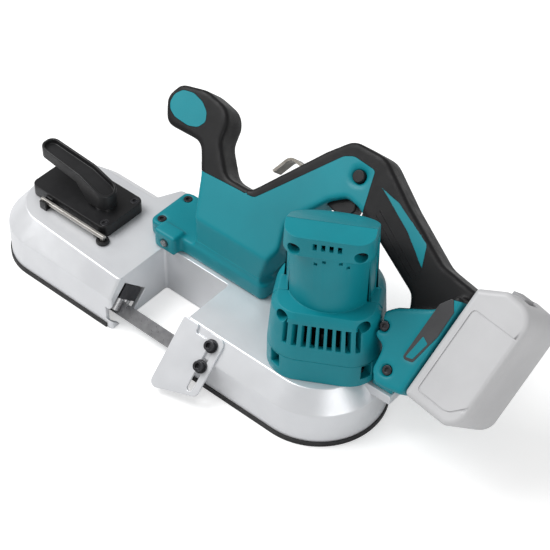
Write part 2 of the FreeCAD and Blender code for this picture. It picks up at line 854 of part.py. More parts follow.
# Drive wheel, its rubber tyre and the spindle that carries both
WHEEL_X = {"drive": "wheel_centres / 2", "idler": "0 - wheel_centres / 2"}
WHEEL_Y = "0 - wheel_setback"
RIM = "tyre_radius - tyre_thickness"
RIM_INSIDE = RIM + " - wheel_rim"
WHEEL_TOP = "wheel_base + tyre_width"
WEB_TOP = "wheel_base + wheel_web"
HUB_TOP = "cover_boss_base - free_clearance"
drive_wheel = turned(("spindle_radius", "wheel_base"), (RIM, "wheel_base"), (RIM, WHEEL_TOP),
                     (RIM_INSIDE, WHEEL_TOP),
                     (RIM_INSIDE, WEB_TOP), ("hub_radius", WEB_TOP), ("hub_radius", HUB_TOP),
                     ("spindle_radius", HUB_TOP))
node("drive_wheel", place(drive_wheel, WHEEL_X["drive"], WHEEL_Y))
for wheel in ("drive", "idler"):
    tyre = turned((RIM, "wheel_base"), ("tyre_radius", "wheel_base"), ("tyre_radius", WHEEL_TOP),
                  (RIM, WHEEL_TOP))
    node(wheel + "_tyre", place(tyre, WHEEL_X[wheel], WHEEL_Y))
NUT_BASE = "wheel_base - spindle_nut_height"
spindle = turned(("0", NUT_BASE), ("spindle_nut_radius", NUT_BASE), ("spindle_nut_radius", "wheel_base"),
                 ("spindle_radius", "wheel_base"), ("spindle_radius",
                                                    "spindle_end"), ("0", "spindle_end"))
node("drive_spindle", place(spindle, WHEEL_X["drive"], WHEEL_Y))

# Gear cover below the gears, with the spindle's two bearings in its boss
COVER_TOP = "cover_base + cover_thickness"
COVER_RIM = "chamber_radius - running_clearance"
cover = turned(("spindle_bearing_radius", "cover_boss_base"), ("cover_boss_radius", "cover_boss_base"),
               ("cover_boss_radius", "cover_base"), (COVER_RIM, "cover_base"), (COVER_RIM, COVER_TOP),
               ("spindle_bearing_radius", COVER_TOP))
place(cover, WHEEL_X["drive"], WHEEL_Y)
lay_pocket = shaped(rod(s.lay_bearing_radius, lay_centre + UP * (s.cover_base + s.cover_floor),
                        lay_centre + UP * (s.cover_base + s.cover_thickness + past)))
cover_holes = shaped(Part.makeCompound(cover_screws))
node("gear_cover", cut(cover, lay_pocket, cover_holes))


def bearing_ring(outer, inner, width, x, y, z):
    return cut(cylinder(outer, width, x, y, z), cylinder(inner, width, x, y, z))


SPINDLE_RUN = "spindle_radius + running_clearance"
first_bearing = "cover_boss_base + free_clearance"
second_bearing = "cover_boss_base + 2 * free_clearance + spindle_bearing_width"
node("spindle_bearings", group(*[
    bearing_ring("spindle_bearing_radius", SPINDLE_RUN, "spindle_bearing_width", WHEEL_X["drive"],
                 WHEEL_Y, height)
    for height in (first_bearing, second_bearing)]))

# Two-stage spur train: motor pinion, intermediate cluster, drive gear
toward_lay = math.atan2(lay_y - wheel_y, lay_x - drive_x)
toward_motor = math.atan2(motor_y - lay_y, drive_x - lay_x)
drive_gear = gear(s.drive_teeth, s.drive_module, -s.shift_share, s.drive_gear_base, s.drive_gear_width,
                  s.spindle_radius, toward_lay)
node("drive_gear", shaped(moved(drive_gear, drive_x, wheel_y)))
lay_pinion = gear(s.pinion_teeth, s.drive_module, s.shift_share, s.drive_gear_base,
                  s.wheel_gear_base - s.drive_gear_base, s.lay_radius,
                  toward_lay + math.pi + math.pi / s.pinion_teeth)
lay_gear = gear(s.wheel_gear_teeth, s.motor_module, -s.shift_share, s.wheel_gear_base, s.wheel_gear_width,
                s.lay_radius, toward_motor)
node("intermediate_gear", shaped(moved(lay_pinion.fuse(lay_gear), lay_x, lay_y)))
lay_shaft = rod(s.lay_radius, UP * (s.cover_base + s.cover_floor + s.free_clearance),
                UP * (s.lay_bearing_top - s.free_clearance))
node("intermediate_shaft", shaped(moved(lay_shaft, lay_x, lay_y)))


def lay_bearing(low):
    ring_shape = rod(s.lay_bearing_radius, lay_centre + UP * low,
                     lay_centre + UP * (low + s.lay_bearing_width))
    bore = rod(s.lay_radius + s.running_clearance, lay_centre, lay_centre + UP * deck)
    return ring_shape.cut(bore)


node("intermediate_bearings", shaped(Part.makeCompound(
    [lay_bearing(s.cover_base + s.cover_floor), lay_bearing(s.lay_bearing_top - s.lay_bearing_width)])))
motor_pinion = gear(s.motor_teeth, s.motor_module, s.shift_share, s.motor_nose_end, s.motor_pinion_width,
                    s.motor_nose_radius, toward_motor + math.pi + math.pi / s.motor_teeth)
node("motor_pinion", shaped(moved(motor_pinion, drive_x, motor_y)))

# Saw band: round both wheels, straight along the spine, twisted into the cutting plane


def band_section(x, y, twist):
    """The band's cross-section at x, its width turned by twist from upright."""
    across = Vector(0, -math.sin(twist), -math.cos(twist)) * (size.blade_width / 2)
    through = Vector(0, -math.cos(twist), math.sin(twist)) * (size.blade_thickness / 2)
    middle = Vector(x, y, size.blade_rise)
    corners = [middle - across - through, middle + across - through,
               middle + across + through, middle - across + through]
    return Part.makePolygon(corners + corners[:1])


def band_twist(from_x, to_x):
    """The stretch of band between a wheel and its guide, eased from upright to the full twist."""
    steps = int(size.twist_sections)
    sections = []
    for step in range(steps + 1):
        share = step / steps
        eased = (1 - math.cos(math.pi * share)) / 2
        sections.append(band_section(from_x + (to_x - from_x) * share,
                                     tangent_y + (cut_y - tangent_y) * eased,
                                     math.radians(size.blade_twist) * eased))
    return Part.makeLoft(sections, True, True)


band_inside = s.tyre_radius + s.blade_gap
tangent_y = wheel_y - band_inside - s.blade_thickness / 2
guide_right = s.throat_right + s.guide_inset + s.guide_length
guide_left = -s.throat_left - s.guide_inset - s.guide_length
band_low = s.blade_rise - s.blade_width / 2
band_high = s.blade_rise + s.blade_width / 2
band_parts = [brick(-drive_x, drive_x, wheel_y + band_inside, wheel_y + band_inside + s.blade_thickness,
                    band_low, band_high),
              band_twist(drive_x, guide_right), band_twist(-drive_x, guide_left),
              Part.makeLoft([band_section(x, cut_y,
                                          math.radians(s.blade_twist)) for x in (guide_left, guide_right)],
                            True, True)]
for side in (-1, 1):
    centre = Vector(side * drive_x, wheel_y, band_low)
    wrap = Part.makeCylinder(band_inside + s.blade_thickness, s.blade_width, centre)
    wrap = wrap.cut(Part.makeCylinder(band_inside, s.blade_width, centre))
    outside = sorted((side * drive_x, side * far))
    band_parts.append(wrap.common(brick(outside[0], outside[1], -far, far, -far, far)))
band = band_parts[0].multiFuse(band_parts[1:])
node("saw_blade", shaped(band.removeSplitter()))

# Blade guides: a steel block in each arm with two face rollers and one back roller


def face_roller(side, out, play):
    """A roller beside the blade's face with its journal, grown by play for its hole."""
    high = roller_low + size.roller_length
    drum = rod(size.roller_radius, guide_point(side, roller_p, roller_low, out),
               guide_point(side, roller_p, high, out))
    journal = rod(size.journal_radius + play, guide_point(side, roller_p, high, out),
                  guide_point(side, roller_p, size.guide_base + size.journal_length + play, out))
    return journal if play else drum.fuse(journal).removeSplitter()


def back_roller(side, play):
    """The roller behind the blade's back edge, its journals across the block's slot."""
    drum = rod(size.back_roller_radius, guide_point(side, back_p, back_q, -size.back_roller_half),
               guide_point(side, back_p, back_q, size.back_roller_half))
    reach = size.back_roller_half + size.journal_length
    journal = rod(size.journal_radius + play, guide_point(side, back_p, back_q, -reach - play),
                  guide_point(side, back_p, back_q, reach + play))
    return journal if play else drum.fuse(journal).removeSplitter()


SIDE_NAMES = {-1: "left", 1: "right"}
blocks = []
for side, name in SIDE_NAMES.items():
    guide_block = guide_box(side, s.guide_inset, s.guide_inset + s.guide_length, s.guide_base,
                            s.guide_base + s.guide_depth, -s.guide_half_width, s.guide_half_width)
    slot = guide_box(side, back_p - s.back_roller_radius - s.free_clearance,
                     s.guide_length + s.guide_inset + past,
                     s.guide_base - past, back_q + s.back_roller_radius + s.free_clearance,
                     -s.back_roller_half - s.free_clearance, s.back_roller_half + s.free_clearance)
    play = s.running_clearance
    guide_block = guide_block.cut(slot).cut(tilted(back_roller(side, play)))
    for out in (-roller_n, roller_n):
        guide_block = guide_block.cut(tilted(face_roller(side, out, play)))
    bores = []
    for reach in guide_screw_reach:
        bore_low = guide_point(side, s.guide_inset + reach, guide_screw_q, -s.guide_half_width - past)
        bore_high = guide_point(side, s.guide_inset + reach, guide_screw_q,
                                guide_top - s.screw_length / 2)
        bores.append(tilted(rod(s.screw_head_radius, bore_low, bore_high)))
    guide_block = guide_block.cut(Part.makeCompound(bores)).cut(Part.makeCompound(guide_screws))
    blocks.append(guide_block)
    node(f"face_roller_{name}_upper", shaped(tilted(face_roller(side, roller_n, 0))))
    node(f"face_roller_{name}_lower", shaped(tilted(face_roller(side, -roller_n, 0))))
    node(f"back_roller_{name}", shaped(tilted(back_roller(side, 0))))
node("guide_blocks", shaped(Part.makeCompound(blocks)))

# Motor: housing and cap on the deck, and everything that turns inside them
MOTOR_X = "wheel_centres / 2"
MOTOR_Y = "0 - motor_setback"
BEARING_TOP = "motor_bearing_base + motor_bearing_width"
BEARING_WALL = "motor_bearing_radius + motor_bearing_wall"
motor_room = turned(("0", "deck_height - overrun"), ("pinion_hole", "deck_height - overrun"),
                    ("pinion_hole", "motor_bearing_base"), ("motor_bearing_radius", "motor_bearing_base"),
                    ("motor_bearing_radius", BEARING_TOP), (BEARING_WALL,
                                                            BEARING_TOP), (BEARING_WALL, "motor_floor"),
                    ("motor_inside_radius", "motor_floor"),
                    ("motor_skirt_front - motor_wall", "motor_vent_height - motor_wall"),
                    ("motor_bore_radius", "motor_shoulder"), ("motor_bore_radius", "tail_bearing_base"),
                    ("0", "tail_bearing_base"))
place(motor_room, MOTOR_X, MOTOR_Y)


def motor_rod(radius, low, high):
    return rod(radius, Vector(drive_x, motor_y, low), Vector(drive_x, motor_y, high))


def at_motor(solid):
    """Turn a solid that faces -Y to the motor's own front, and set it on the motor's axis."""
    solid.rotate(ORIGIN, UP, size.motor_turn)
    return moved(solid, drive_x, motor_y)


def motor_plan(half, front, corner, height):
    """The motor's outline at a height: a flat front with rounded corners, and a half round back."""
    back_round = half * size.motor_back_share
    wire = rounded([(-half, -front, corner), (half, -front, corner), (half, half, back_round),
                    (-half, half, back_round)])
    wire.translate(UP * height)
    return wire


def radial_box(angle, inner, outer, width, low, high):
    """A box along a radius of the motor, turned by angle from its front."""
    box = brick(inner, outer, -width / 2, width / 2, low, high)
    box.rotate(ORIGIN, UP, size.motor_turn + angle - math.degrees(math.pi / 2))
    return moved(box, drive_x, motor_y)


def slots(count, step, width, low, length):
    middle = (count - 1) / 2
    return [radial_box((number - middle) * step, s.motor_bore_radius - past, 2 * s.motor_base_half, width,
                       low, low + length) for number in range(int(count))]


def roof_form(drop):
    """All that lies under the roof, or under its ceiling when the roof drops by its thickness."""
    front = -s.motor_base_half
    points = [(front, 0), (front, s.cap_front_height - drop), (-s.cover_split, s.motor_top - drop),
              (s.motor_body_half, s.cap_back_height - drop), (2 * s.motor_body_half, 0), (front, 0)]
    face = Part.Face(Part.makePolygon([Vector(-s.motor_base_half, y, z) for y, z in points]))
    return at_motor(face.extrude(ALONG * (2 * s.motor_base_half)))


# the shell: outside form, rooms inside it, bosses for the cover's screws
base_plan = (s.motor_base_half, s.motor_base_front, s.motor_base_corner)
skirt_plan = (s.motor_skirt_half, s.motor_skirt_front, s.motor_skirt_corner)
body_plan = (s.motor_body_half, s.motor_body_front, s.motor_body_corner)
cap_plan = (s.motor_cap_half, s.motor_cap_front, s.motor_cap_corner)
form = at_motor(Part.makeLoft([motor_plan(*base_plan, deck), motor_plan(*base_plan, s.motor_skirt_height),
                               motor_plan(*skirt_plan,
                                          s.motor_vent_height), motor_plan(*body_plan, s.motor_shoulder),
                               motor_plan(*cap_plan, s.motor_top)], True, True))
form = form.common(roof_form(0))
panel = brick(-s.motor_base_half, s.motor_base_half, -s.motor_base_half, 0, s.motor_panel_low,
              s.motor_panel_high)
form = form.cut(at_motor(panel).cut(motor_rod(s.motor_panel_radius, 0, s.motor_top)))
tail_top = s.tail_bearing_base + s.tail_bearing_width + s.free_clearance
upper_room = motor_rod(s.motor_bore_radius, s.tail_bearing_base,
                       s.motor_top).common(roof_form(s.cap_roof))
upper_room = upper_room.cut(motor_rod(s.tail_bearing_radius + s.tail_bearing_wall, 0, s.motor_top))
upper_room = upper_room.fuse(motor_rod(s.tail_bearing_radius, s.tail_bearing_base, tail_top))
doc.recompute()
shell = form.cut(motor_room.Shape).cut(upper_room)
stator_bore = motor_rod(s.motor_bore_radius, 0, s.tail_bearing_base)
cover_bosses = [rod(s.cover_boss_size, cover_point(side, s.cover_boss_start, height),
                    cover_point(side, s.motor_base_half, height)).common(form).cut(stator_bore)
                for side, height in COVER_SCREW_PLACES]
shell = shell.multiFuse(cover_bosses)
cover_pockets = [rod(s.screw_pocket_radius, cover_point(side, s.cover_screw_seat, height),
                     cover_point(side, 2 * s.motor_base_half, height))
                 for side, height in COVER_SCREW_PLACES]
base_pockets = []
for seat, angle in zip(motor_seats, MOTOR_SCREW_ANGLES):
    pocket_top = seat.z + s.motor_pocket_height
    base_pockets.append(rod(s.screw_pocket_radius, seat, Vector(seat.x, seat.y, pocket_top)))
    base_pockets.append(radial_box(angle, s.motor_screw_reach, 2 * s.motor_base_half,
                                   2 * s.screw_pocket_radius,
                                   seat.z, pocket_top))
vents = slots(s.vent_count, s.vent_step, s.vent_width, s.vent_base, s.vent_length)
vents += slots(s.slot_count, s.slot_step, s.slot_width, s.slot_base, s.slot_length)
shell = shell.cut(Part.makeCompound(cover_pockets + base_pockets + vents + housing_screw_shapes))

# the front of the shell is a cover of its own, above the base
cover_form = at_motor(brick(-2 * s.motor_base_half, 2 * s.motor_base_half, -2 * s.motor_base_half,
                            -s.cover_split,
                            s.motor_skirt_height, s.motor_top + past))
node("motor_housing", shaped(shell.cut(cover_form)))
node("motor_cover", shaped(shell.common(cover_form)))

SHAFT_RUN = "motor_shaft_radius + running_clearance"
TAIL_RUN = "motor_tail_radius + running_clearance"
node("motor_bearings", group(
    bearing_ring("motor_bearing_radius", SHAFT_RUN, "motor_bearing_width", MOTOR_X, MOTOR_Y,
                 "motor_bearing_base"),
    bearing_ring("tail_bearing_radius", TAIL_RUN, "tail_bearing_width", MOTOR_X, MOTOR_Y,
                 "tail_bearing_base")))
TAIL_END = "tail_bearing_base + tail_bearing_width"
TAIL_SHOULDER = "tail_bearing_base - free_clearance"
shaft = turned(("0", "motor_nose_end"), ("motor_nose_radius", "motor_nose_end"),
               ("motor_nose_radius", "lay_bearing_top"),
               ("motor_shaft_radius", "lay_bearing_top"), ("motor_shaft_radius", TAIL_SHOULDER),
               ("motor_tail_radius", TAIL_SHOULDER), ("motor_tail_radius", TAIL_END), ("0", TAIL_END))
node("motor_shaft", place(shaft, MOTOR_X, MOTOR_Y))

# stator: steel yoke with two magnets glued inside it
YOKE_INSIDE = "motor_bore_radius - yoke_wall"
node("stator_yoke", bearing_ring("motor_bore_radius", YOKE_INSIDE, "yoke_length", MOTOR_X, MOTOR_Y,
                                 "yoke_base"))
magnet_outer = s.motor_bore_radius - s.yoke_wall
magnet_inner = magnet_outer - s.magnet_wall
magnet_low = s.yoke_base + s.magnet_margin
magnet_length = s.yoke_length - 2 * s.magnet_margin
magnets = []
for start in (0, math.degrees(math.pi)):
    arc = Part.makeCylinder(magnet_outer, magnet_length, UP * magnet_low, UP, s.magnet_angle)
    arc = arc.cut(Part.makeCylinder(magnet_inner, magnet_length, UP * magnet_low))
    arc.rotate(ORIGIN, UP, s.motor_turn + start)
    magnets.append(moved(arc, drive_x, motor_y))
node("stator_magnets", shaped(Part.makeCompound(magnets)))

# armature: slotted core, end turns of the winding, commutator and fan on the shaft
core_radius = magnet_inner - s.armature_gap
core = motor_rod(core_radius, magnet_low, magnet_low + magnet_length)
core = core.cut(motor_rod(s.motor_shaft_radius, 0, s.motor_top))
core_step = math.degrees(2 * math.pi) / s.armature_slots
for number in range(int(s.armature_slots)):
    core = core.cut(radial_box(number * core_step, core_radius - s.armature_slot_depth,
                               core_radius + past,
                               s.armature_slot_width, magnet_low - past, magnet_low + magnet_length + past))
node("armature_core", shaped(core))


def end_turns(low):
    coil = motor_rod(s.winding_radius, low, low + s.winding_length)
    return coil.cut(motor_rod(s.motor_shaft_radius + s.free_clearance, 0, s.motor_top))


node("armature_winding", shaped(Part.makeCompound([end_turns(magnet_low - s.winding_length),
                                                   end_turns(magnet_low + magnet_length)])))
node("commutator", bearing_ring("commutator_radius", "motor_shaft_radius", "commutator_length", MOTOR_X,
                                MOTOR_Y,
                                "commutator_base"))
fan = motor_rod(s.fan_radius, s.fan_base, s.fan_base + s.fan_disc)
fan = fan.fuse(motor_rod(s.fan_hub_radius, s.fan_base, s.fan_base + s.fan_height))
fan_step = math.degrees(2 * math.pi) / s.fan_blades
fan = fan.multiFuse([radial_box(number * fan_step, s.fan_blade_start,
                                s.fan_radius - s.fan_blade_thickness,
                                s.fan_blade_thickness, s.fan_base, s.fan_base + s.fan_height)
                     for number in range(int(s.fan_blades))])
fan = fan.cut(motor_rod(s.motor_shaft_radius, 0, s.motor_top))
node("motor_fan", shaped(fan.removeSplitter()))

# brush gear: a ring plate in the cap with two brush boxes
brush_low = s.brush_plate_base + s.brush_plate_thickness
brush_start = s.commutator_radius + s.running_clearance
brush_gear = motor_rod(s.motor_bore_radius, s.brush_plate_base, brush_low)
brush_gear = brush_gear.cut(motor_rod(s.brush_plate_bore, 0, s.motor_top))
brushes = []
for start in (0, math.degrees(math.pi)):
    box = radial_box(start, s.brush_plate_bore, brush_start + s.brush_length + s.brush_box_wall,
                     s.brush_width + 2 * s.brush_box_wall, brush_low,
                     brush_low + s.brush_height + s.brush_box_wall)
    brush = radial_box(start, brush_start, brush_start + s.brush_length, s.brush_width, brush_low,
                       brush_low + s.brush_height)
    brush_gear = brush_gear.fuse(box).cut(brush)
    brushes.append(brush)
node("brush_plate", shaped(brush_gear.removeSplitter()))
node("carbon_brushes", shaped(Part.makeCompound(brushes)))

# Idler wheel on two bearings, its axle fixed in the tension slider
IDLER_HUB = "idler_bearing_radius + idler_bearing_wall"
idler_wheel = turned(("idler_bearing_radius", "wheel_base"), (RIM, "wheel_base"), (RIM, WHEEL_TOP),
                     (RIM_INSIDE, WHEEL_TOP), (RIM_INSIDE, WEB_TOP), (IDLER_HUB,
                                                                      WEB_TOP), (IDLER_HUB, WHEEL_TOP),
                     ("idler_bearing_radius", WHEEL_TOP))
node("idler_wheel", place(idler_wheel, WHEEL_X["idler"], WHEEL_Y))
AXLE_RUN = "axle_radius + running_clearance"
idler_low = "wheel_base + free_clearance"
idler_high = "wheel_base + free_clearance + idler_bearing_width + idler_bearing_spacer"
node("idler_bearings", group(*[
    bearing_ring("idler_bearing_radius", AXLE_RUN, "idler_bearing_width", WHEEL_X["idler"], WHEEL_Y,
                 height)
    for height in (idler_low, idler_high)]))
HEAD_TOP = "wheel_base - free_clearance"
HEAD_BASE = HEAD_TOP + " - axle_head_height"
SLIDER_TOP = "slider_base + slider_thickness"
SHOULDER = "wheel_base + tyre_width + free_clearance"
axle = turned(("0", HEAD_BASE), ("axle_head_radius", HEAD_BASE), ("axle_head_radius", HEAD_TOP),
              ("axle_radius", HEAD_TOP), ("axle_radius", SHOULDER), ("axle_head_radius", SHOULDER),
              ("axle_head_radius", "slider_base"), ("axle_radius",
                                                    "slider_base"), ("axle_radius", SLIDER_TOP),
              ("0", SLIDER_TOP))
node("idler_axle", place(axle, WHEEL_X["idler"], WHEEL_Y))

# Tension slider under the deck, its neck through the deck's slot, its yoke round the cam
idler_x = -drive_x
slider_top = s.slider_base + s.slider_thickness
yoke_base = deck + s.free_clearance
window_left = -s.lever_pivot - s.cam_throw - s.cam_radius - s.cam_play
window_right = -s.lever_pivot - s.cam_throw + s.cam_radius + s.cam_play
window_half = s.cam_radius + s.cam_throw + s.cam_play
slider = brick(idler_x - s.slider_length / 2, idler_x + s.slider_length / 2, wheel_y - s.slider_width / 2,
               wheel_y + s.slider_width / 2, s.slider_base, slider_top)
neck = brick(window_left - s.yoke_bar, window_left, wheel_y - s.slider_neck_width / 2,
             wheel_y + s.slider_neck_width / 2, slider_top, yoke_base)
yoke_half = window_half + s.yoke_end - s.cam_play
yoke = brick(window_left - s.yoke_bar, window_right + s.yoke_end, wheel_y - yoke_half,
             wheel_y + yoke_half,
             yoke_base, yoke_base + s.yoke_plate_thickness)
yoke = yoke.cut(brick(window_left, window_right, wheel_y - window_half, wheel_y + window_half,
                      yoke_base - past,
                      yoke_base + s.yoke_plate_thickness + past))
slider = slider.multiFuse([neck, yoke])
slider = slider.cut(rod(s.axle_radius, Vector(idler_x, wheel_y, 0), Vector(idler_x, wheel_y, slider_top)))
node("tension_slider", shaped(slider.removeSplitter()))

# Coil spring that pushes the slider away from the stop wall
coil_left = idler_x + s.slider_length / 2 + s.spring_wire
coil_length = -s.spring_stop - s.spring_wire - coil_left
coil_path = Part.makeHelix(coil_length / s.spring_turns, coil_length, s.spring_radius)
coil_start = Part.Wire(Part.makeCircle(s.spring_wire, ALONG * s.spring_radius, Vector(0, 1, 0)))
coil = Part.Wire(coil_path).makePipeShell([coil_start], True, True)
coil.rotate(ORIGIN, Vector(0, 1, 0), math.degrees(math.pi / 2))
coil.translate(Vector(coil_left, wheel_y, s.slider_base + s.slider_thickness / 2))
node("tension_spring", shaped(coil))

# Tension base on the deck, the lever above it and the cam that works the yoke
pivot = Vector(-s.lever_pivot, wheel_y, 0)
base_top = deck + s.tension_base_height
corner = s.tension_base_corner
tension_base = prism(rounded([(-s.tension_base_left, -s.tension_base_front, corner),
                              (-s.tension_base_right, -s.tension_base_front, corner),
                              (-s.tension_base_right, -s.tension_base_back, corner),
                              (-s.tension_base_left, -s.tension_base_back, corner)]), deck, base_top)
key_end = Vector(-s.key_left + s.key_length, -s.key_setback, 0)
socket = rod(s.key_socket_radius, key_end + UP * deck, key_end + UP * (deck + s.key_socket_height))
key_room = s.key_radius + s.free_clearance
clip = brick(-s.key_clip_place - s.key_clip_length, -s.key_clip_place,
             -s.key_setback - key_room - s.key_clip_wall, -s.tension_base_front + past, deck,
             s.key_height + s.key_radius)
web = brick(key_end.x - 2 * s.key_socket_radius, key_end.x, -s.key_setback, -s.tension_base_front + past,
            deck,
            deck + s.key_socket_height)
tension_base = tension_base.multiFuse([socket, clip, web])
yoke_room = brick(-s.tension_pocket_left, -s.tension_pocket_right, wheel_y - s.tension_pocket_half,
                  wheel_y + s.tension_pocket_half, deck - past, base_top - s.tension_roof)
key_way = brick(-s.key_left - past, -s.key_left + s.key_length - past, -s.key_setback - key_room,
                -s.key_setback + key_room, s.key_height - key_room, base_top + past)
stud_hole = rod(s.pivot_radius + s.running_clearance, pivot + UP * deck, pivot + UP * (base_top + past))
socket_hole = rod(key_room, key_end, key_end + UP * base_top)
tension_base = tension_base.cut(Part.makeCompound([yoke_room, stud_hole,
                                                   socket_hole] + housing_screw_shapes))
node("tension_base", shaped(tension_base.cut(key_way).removeSplitter()))
cam_centre = pivot - ALONG * s.cam_throw
cam_top = s.cam_base + s.cam_thickness
ring_base = base_top + s.stop_play
lever_seat = ring_base + s.pivot_ring_height
cam = rod(s.cam_radius, cam_centre + UP * s.cam_base, cam_centre + UP * cam_top)
cam = cam.fuse(rod(s.pivot_radius, pivot + UP * cam_top, pivot + UP * (lever_seat + s.lever_socket)))
cam = cam.fuse(rod(s.pivot_ring_radius, pivot + UP * ring_base, pivot + UP * lever_seat))
node("lever_cam", shaped(cam.removeSplitter()))

# side view of the lever, from the pivot outward along -X
bend = s.lever_hub_radius + s.lever_neck
side_points = [(s.lever_hub_radius, lever_seat), (-s.lever_hub_radius, lever_seat),
               (-bend, lever_seat + s.lever_rise), (-s.lever_length,
                                                    lever_seat + s.lever_rise + s.lever_lean),
               (-s.lever_length, lever_seat + s.lever_rise + s.lever_lean + s.lever_thickness),
               (-bend + s.lever_lean, lever_seat + s.lever_rise + s.lever_thickness),
               (s.lever_hub_radius, lever_seat + s.lever_thickness + s.lever_crown)]
outline = [Vector(-s.lever_pivot + x, wheel_y - s.lever_hub_radius - past, z) for x, z in side_points]
side_view = Part.Face(Part.makePolygon(outline + outline[:1]))
side_view = side_view.extrude(Vector(0, 2 * (s.lever_hub_radius + past), 0))
hub_x = -s.lever_pivot + s.lever_hub_radius
tip_x = -s.lever_pivot - s.lever_length
hub_round = s.lever_hub_radius - s.lever_flat
tip_round = s.lever_tip_radius - s.lever_flat
taper = rounded([(hub_x, wheel_y - s.lever_hub_radius, hub_round),
                 (hub_x, wheel_y + s.lever_hub_radius, hub_round),
                 (tip_x, wheel_y + s.lever_tip_radius, tip_round), (tip_x, wheel_y - s.lever_tip_radius,
                                                                    tip_round)])
lever = side_view.common(prism(taper, deck, s.motor_top))
lever = lever.cut(rod(s.pivot_radius, pivot + UP * deck, pivot + UP * (lever_seat + s.lever_socket)))
node("tension_lever", shaped(lever))

# Hexagon key clipped beside the base, its short leg down through the deck
across = s.key_radius
key_turns = [2 * math.pi * number / s.key_sides for number in range(int(s.key_sides))]
key_points = [Vector(0, across * math.cos(turn), across * math.sin(turn)) for turn in key_turns]
hexagon = Part.Face(Part.makePolygon(key_points + key_points[:1]))
long_arm = hexagon.extrude(ALONG * (s.key_length + across))
long_arm.translate(Vector(-s.key_left, -s.key_setback, s.key_height))
leg = hexagon.copy()
leg.rotate(ORIGIN, Vector(0, 1, 0), math.degrees(math.pi / 2))
leg = leg.extrude(DOWN * s.key_leg)
leg.translate(Vector(key_end.x, key_end.y, s.key_height))
node("hex_key", shaped(long_arm.fuse(leg).removeSplitter()))

# Handle: outlines in its own flat plane, as (along, across, corner radius) shares of its length
HANDLE_SHARES = [
    (-0.059, 0.030, 0.000), (-0.059, 0.148, 0.018), (-0.109, 0.266, 0.059), (-0.154, 0.337, 0.041),
    (-0.272, 0.334, 0.038), (-0.308, 0.396, 0.036),
    (-0.287, 0.441, 0.033), (-0.207, 0.459, 0.074), (-0.109, 0.441, 0.059), (-0.101, 0.361, 0.053),
    (-0.038, 0.293, 0.047), (0.041, 0.293, 0.030),
    (0.178, 0.470, 0.107), (0.231, 0.527, 0.047), (0.331, 0.527, 0.059), (0.444, 0.453, 0.148),
    (0.592, 0.370, 0.089), (0.707, 0.352, 0.012),
    (0.680, 0.065, 0.012), (0.604, 0.056, 0.015), (0.583, 0.083, 0.015), (0.562, 0.178, 0.024),
    (0.571, 0.237, 0.018), (0.553, 0.275, 0.024), (0.322, 0.391, 0.030),
    (0.287, 0.396, 0.018), (0.249, 0.370, 0.018), (0.172, 0.269, 0.041), (0.192, 0.201, 0.036),
    (0.163, 0.118, 0.024), (0.163, 0.030, 0.000)]
FRONT_GRIP_SHARES = [
    (-0.414, 0.275, 0.000), (-0.109, 0.275, 0.012), (0.012, 0.281, 0.012), (0.036, 0.281, 0.000),
    (0.036, 0.621, 0.000), (-0.414, 0.621, 0.000)]
MAIN_GRIP_SHARES = [
    (0.037, 0.281, 0.000), (0.062, 0.284, 0.015), (0.083, 0.308, 0.012), (0.228, 0.482, 0.015),
    (0.254, 0.494, 0.012), (0.322, 0.488, 0.012), (0.346, 0.379, 0.000),
    (0.361, 0.314, 0.000), (0.533, 0.219, 0.000), (0.568, 0.237, 0.009), (0.645, 0.275, 0.009),
    (0.675, 0.317, 0.009), (0.754, 0.337, 0.000),
    (0.754, 0.621, 0.000), (0.037, 0.621, 0.000)]
CRESCENT_SHARES = [
    (0.355, 0.460, 0.004), (0.417, 0.448, 0.012), (0.503, 0.408, 0.004), (0.500, 0.399, 0.003),
    (0.533, 0.393, 0.009), (0.550, 0.337, 0.006),
    (0.473, 0.396, 0.059), (0.393, 0.441, 0.024)]
WINDOW_SHARES = [(-0.281, 0.367, 0.024), (-0.183, 0.358, 0.021), (-0.160, 0.393, 0.024),
                 (-0.213, 0.432, 0.036), (-0.278, 0.426, 0.027)]
FOOT_SHARES = [
    (0.704, 0.331, 0.012), (0.680, 0.065, 0.012), (0.604, 0.056, 0.015), (0.583, 0.083, 0.015),
    (0.580, 0.142, 0.018), (0.533, 0.160, 0.018), (0.533, 0.207, 0.018),
    (0.565, 0.237, 0.015), (0.645, 0.275, 0.015), (0.669, 0.299, 0.012), (0.678, 0.331, 0.009)]
BAND_SHARES = [(0.636, 0.139, 0.009), (0.666, 0.145, 0.006), (0.689, 0.225, 0.015),
               (0.695, 0.293, 0.006), (0.678, 0.322, 0.006), (0.654, 0.293, 0.012)]
TRIGGER_SHARES = [
    (0.234, 0.358, 0.009), (0.299, 0.343, 0.015), (0.314, 0.376, 0.006), (0.305, 0.408, 0.006),
    (0.260, 0.423, 0.006), (0.240, 0.393, 0.006)]
# where the battery's lower corner sits on the foot
BATTERY_SHARES = (0.683, 0.077)
# the battery's side view: shares of its length and of its height, and radii as shares of its height
CASE_SHARES = [(-0.01, 0, 0.08), (0.89, 0, 0.08), (1, 0.42, 0.19), (0.98, 1, 0.34), (0.06, 1, 0.3),
               (-0.01, 0.79, 0.15)]
SWITCH_SHARES = [(0.337, 0.376, 0.003), (0.408, 0.358, 0.003), (0.420, 0.411, 0.003),
                 (0.349, 0.444, 0.003)]
HOOK_SHARES = [(0.118, 0.314, 0.000), (0.139, 0.399, 0.018), (0.050, 0.411, 0.021), (0.024, 0.358, 0.000)]
PULL_SHARES = (0.6, 0.8)
BUTTON_SHARES = (0.290, 0.456)
FOOT_SCREW_SHARES = [(0.558, 0.183), (0.617, 0.098)]
SHELL_SCREW_SHARES = [(-0.024, 0.213), (0.107, 0.213), (0.207, 0.435)]


def handle_corners(shares):
    return [tuple(share * size.handle_length for share in corner) for corner in shares]


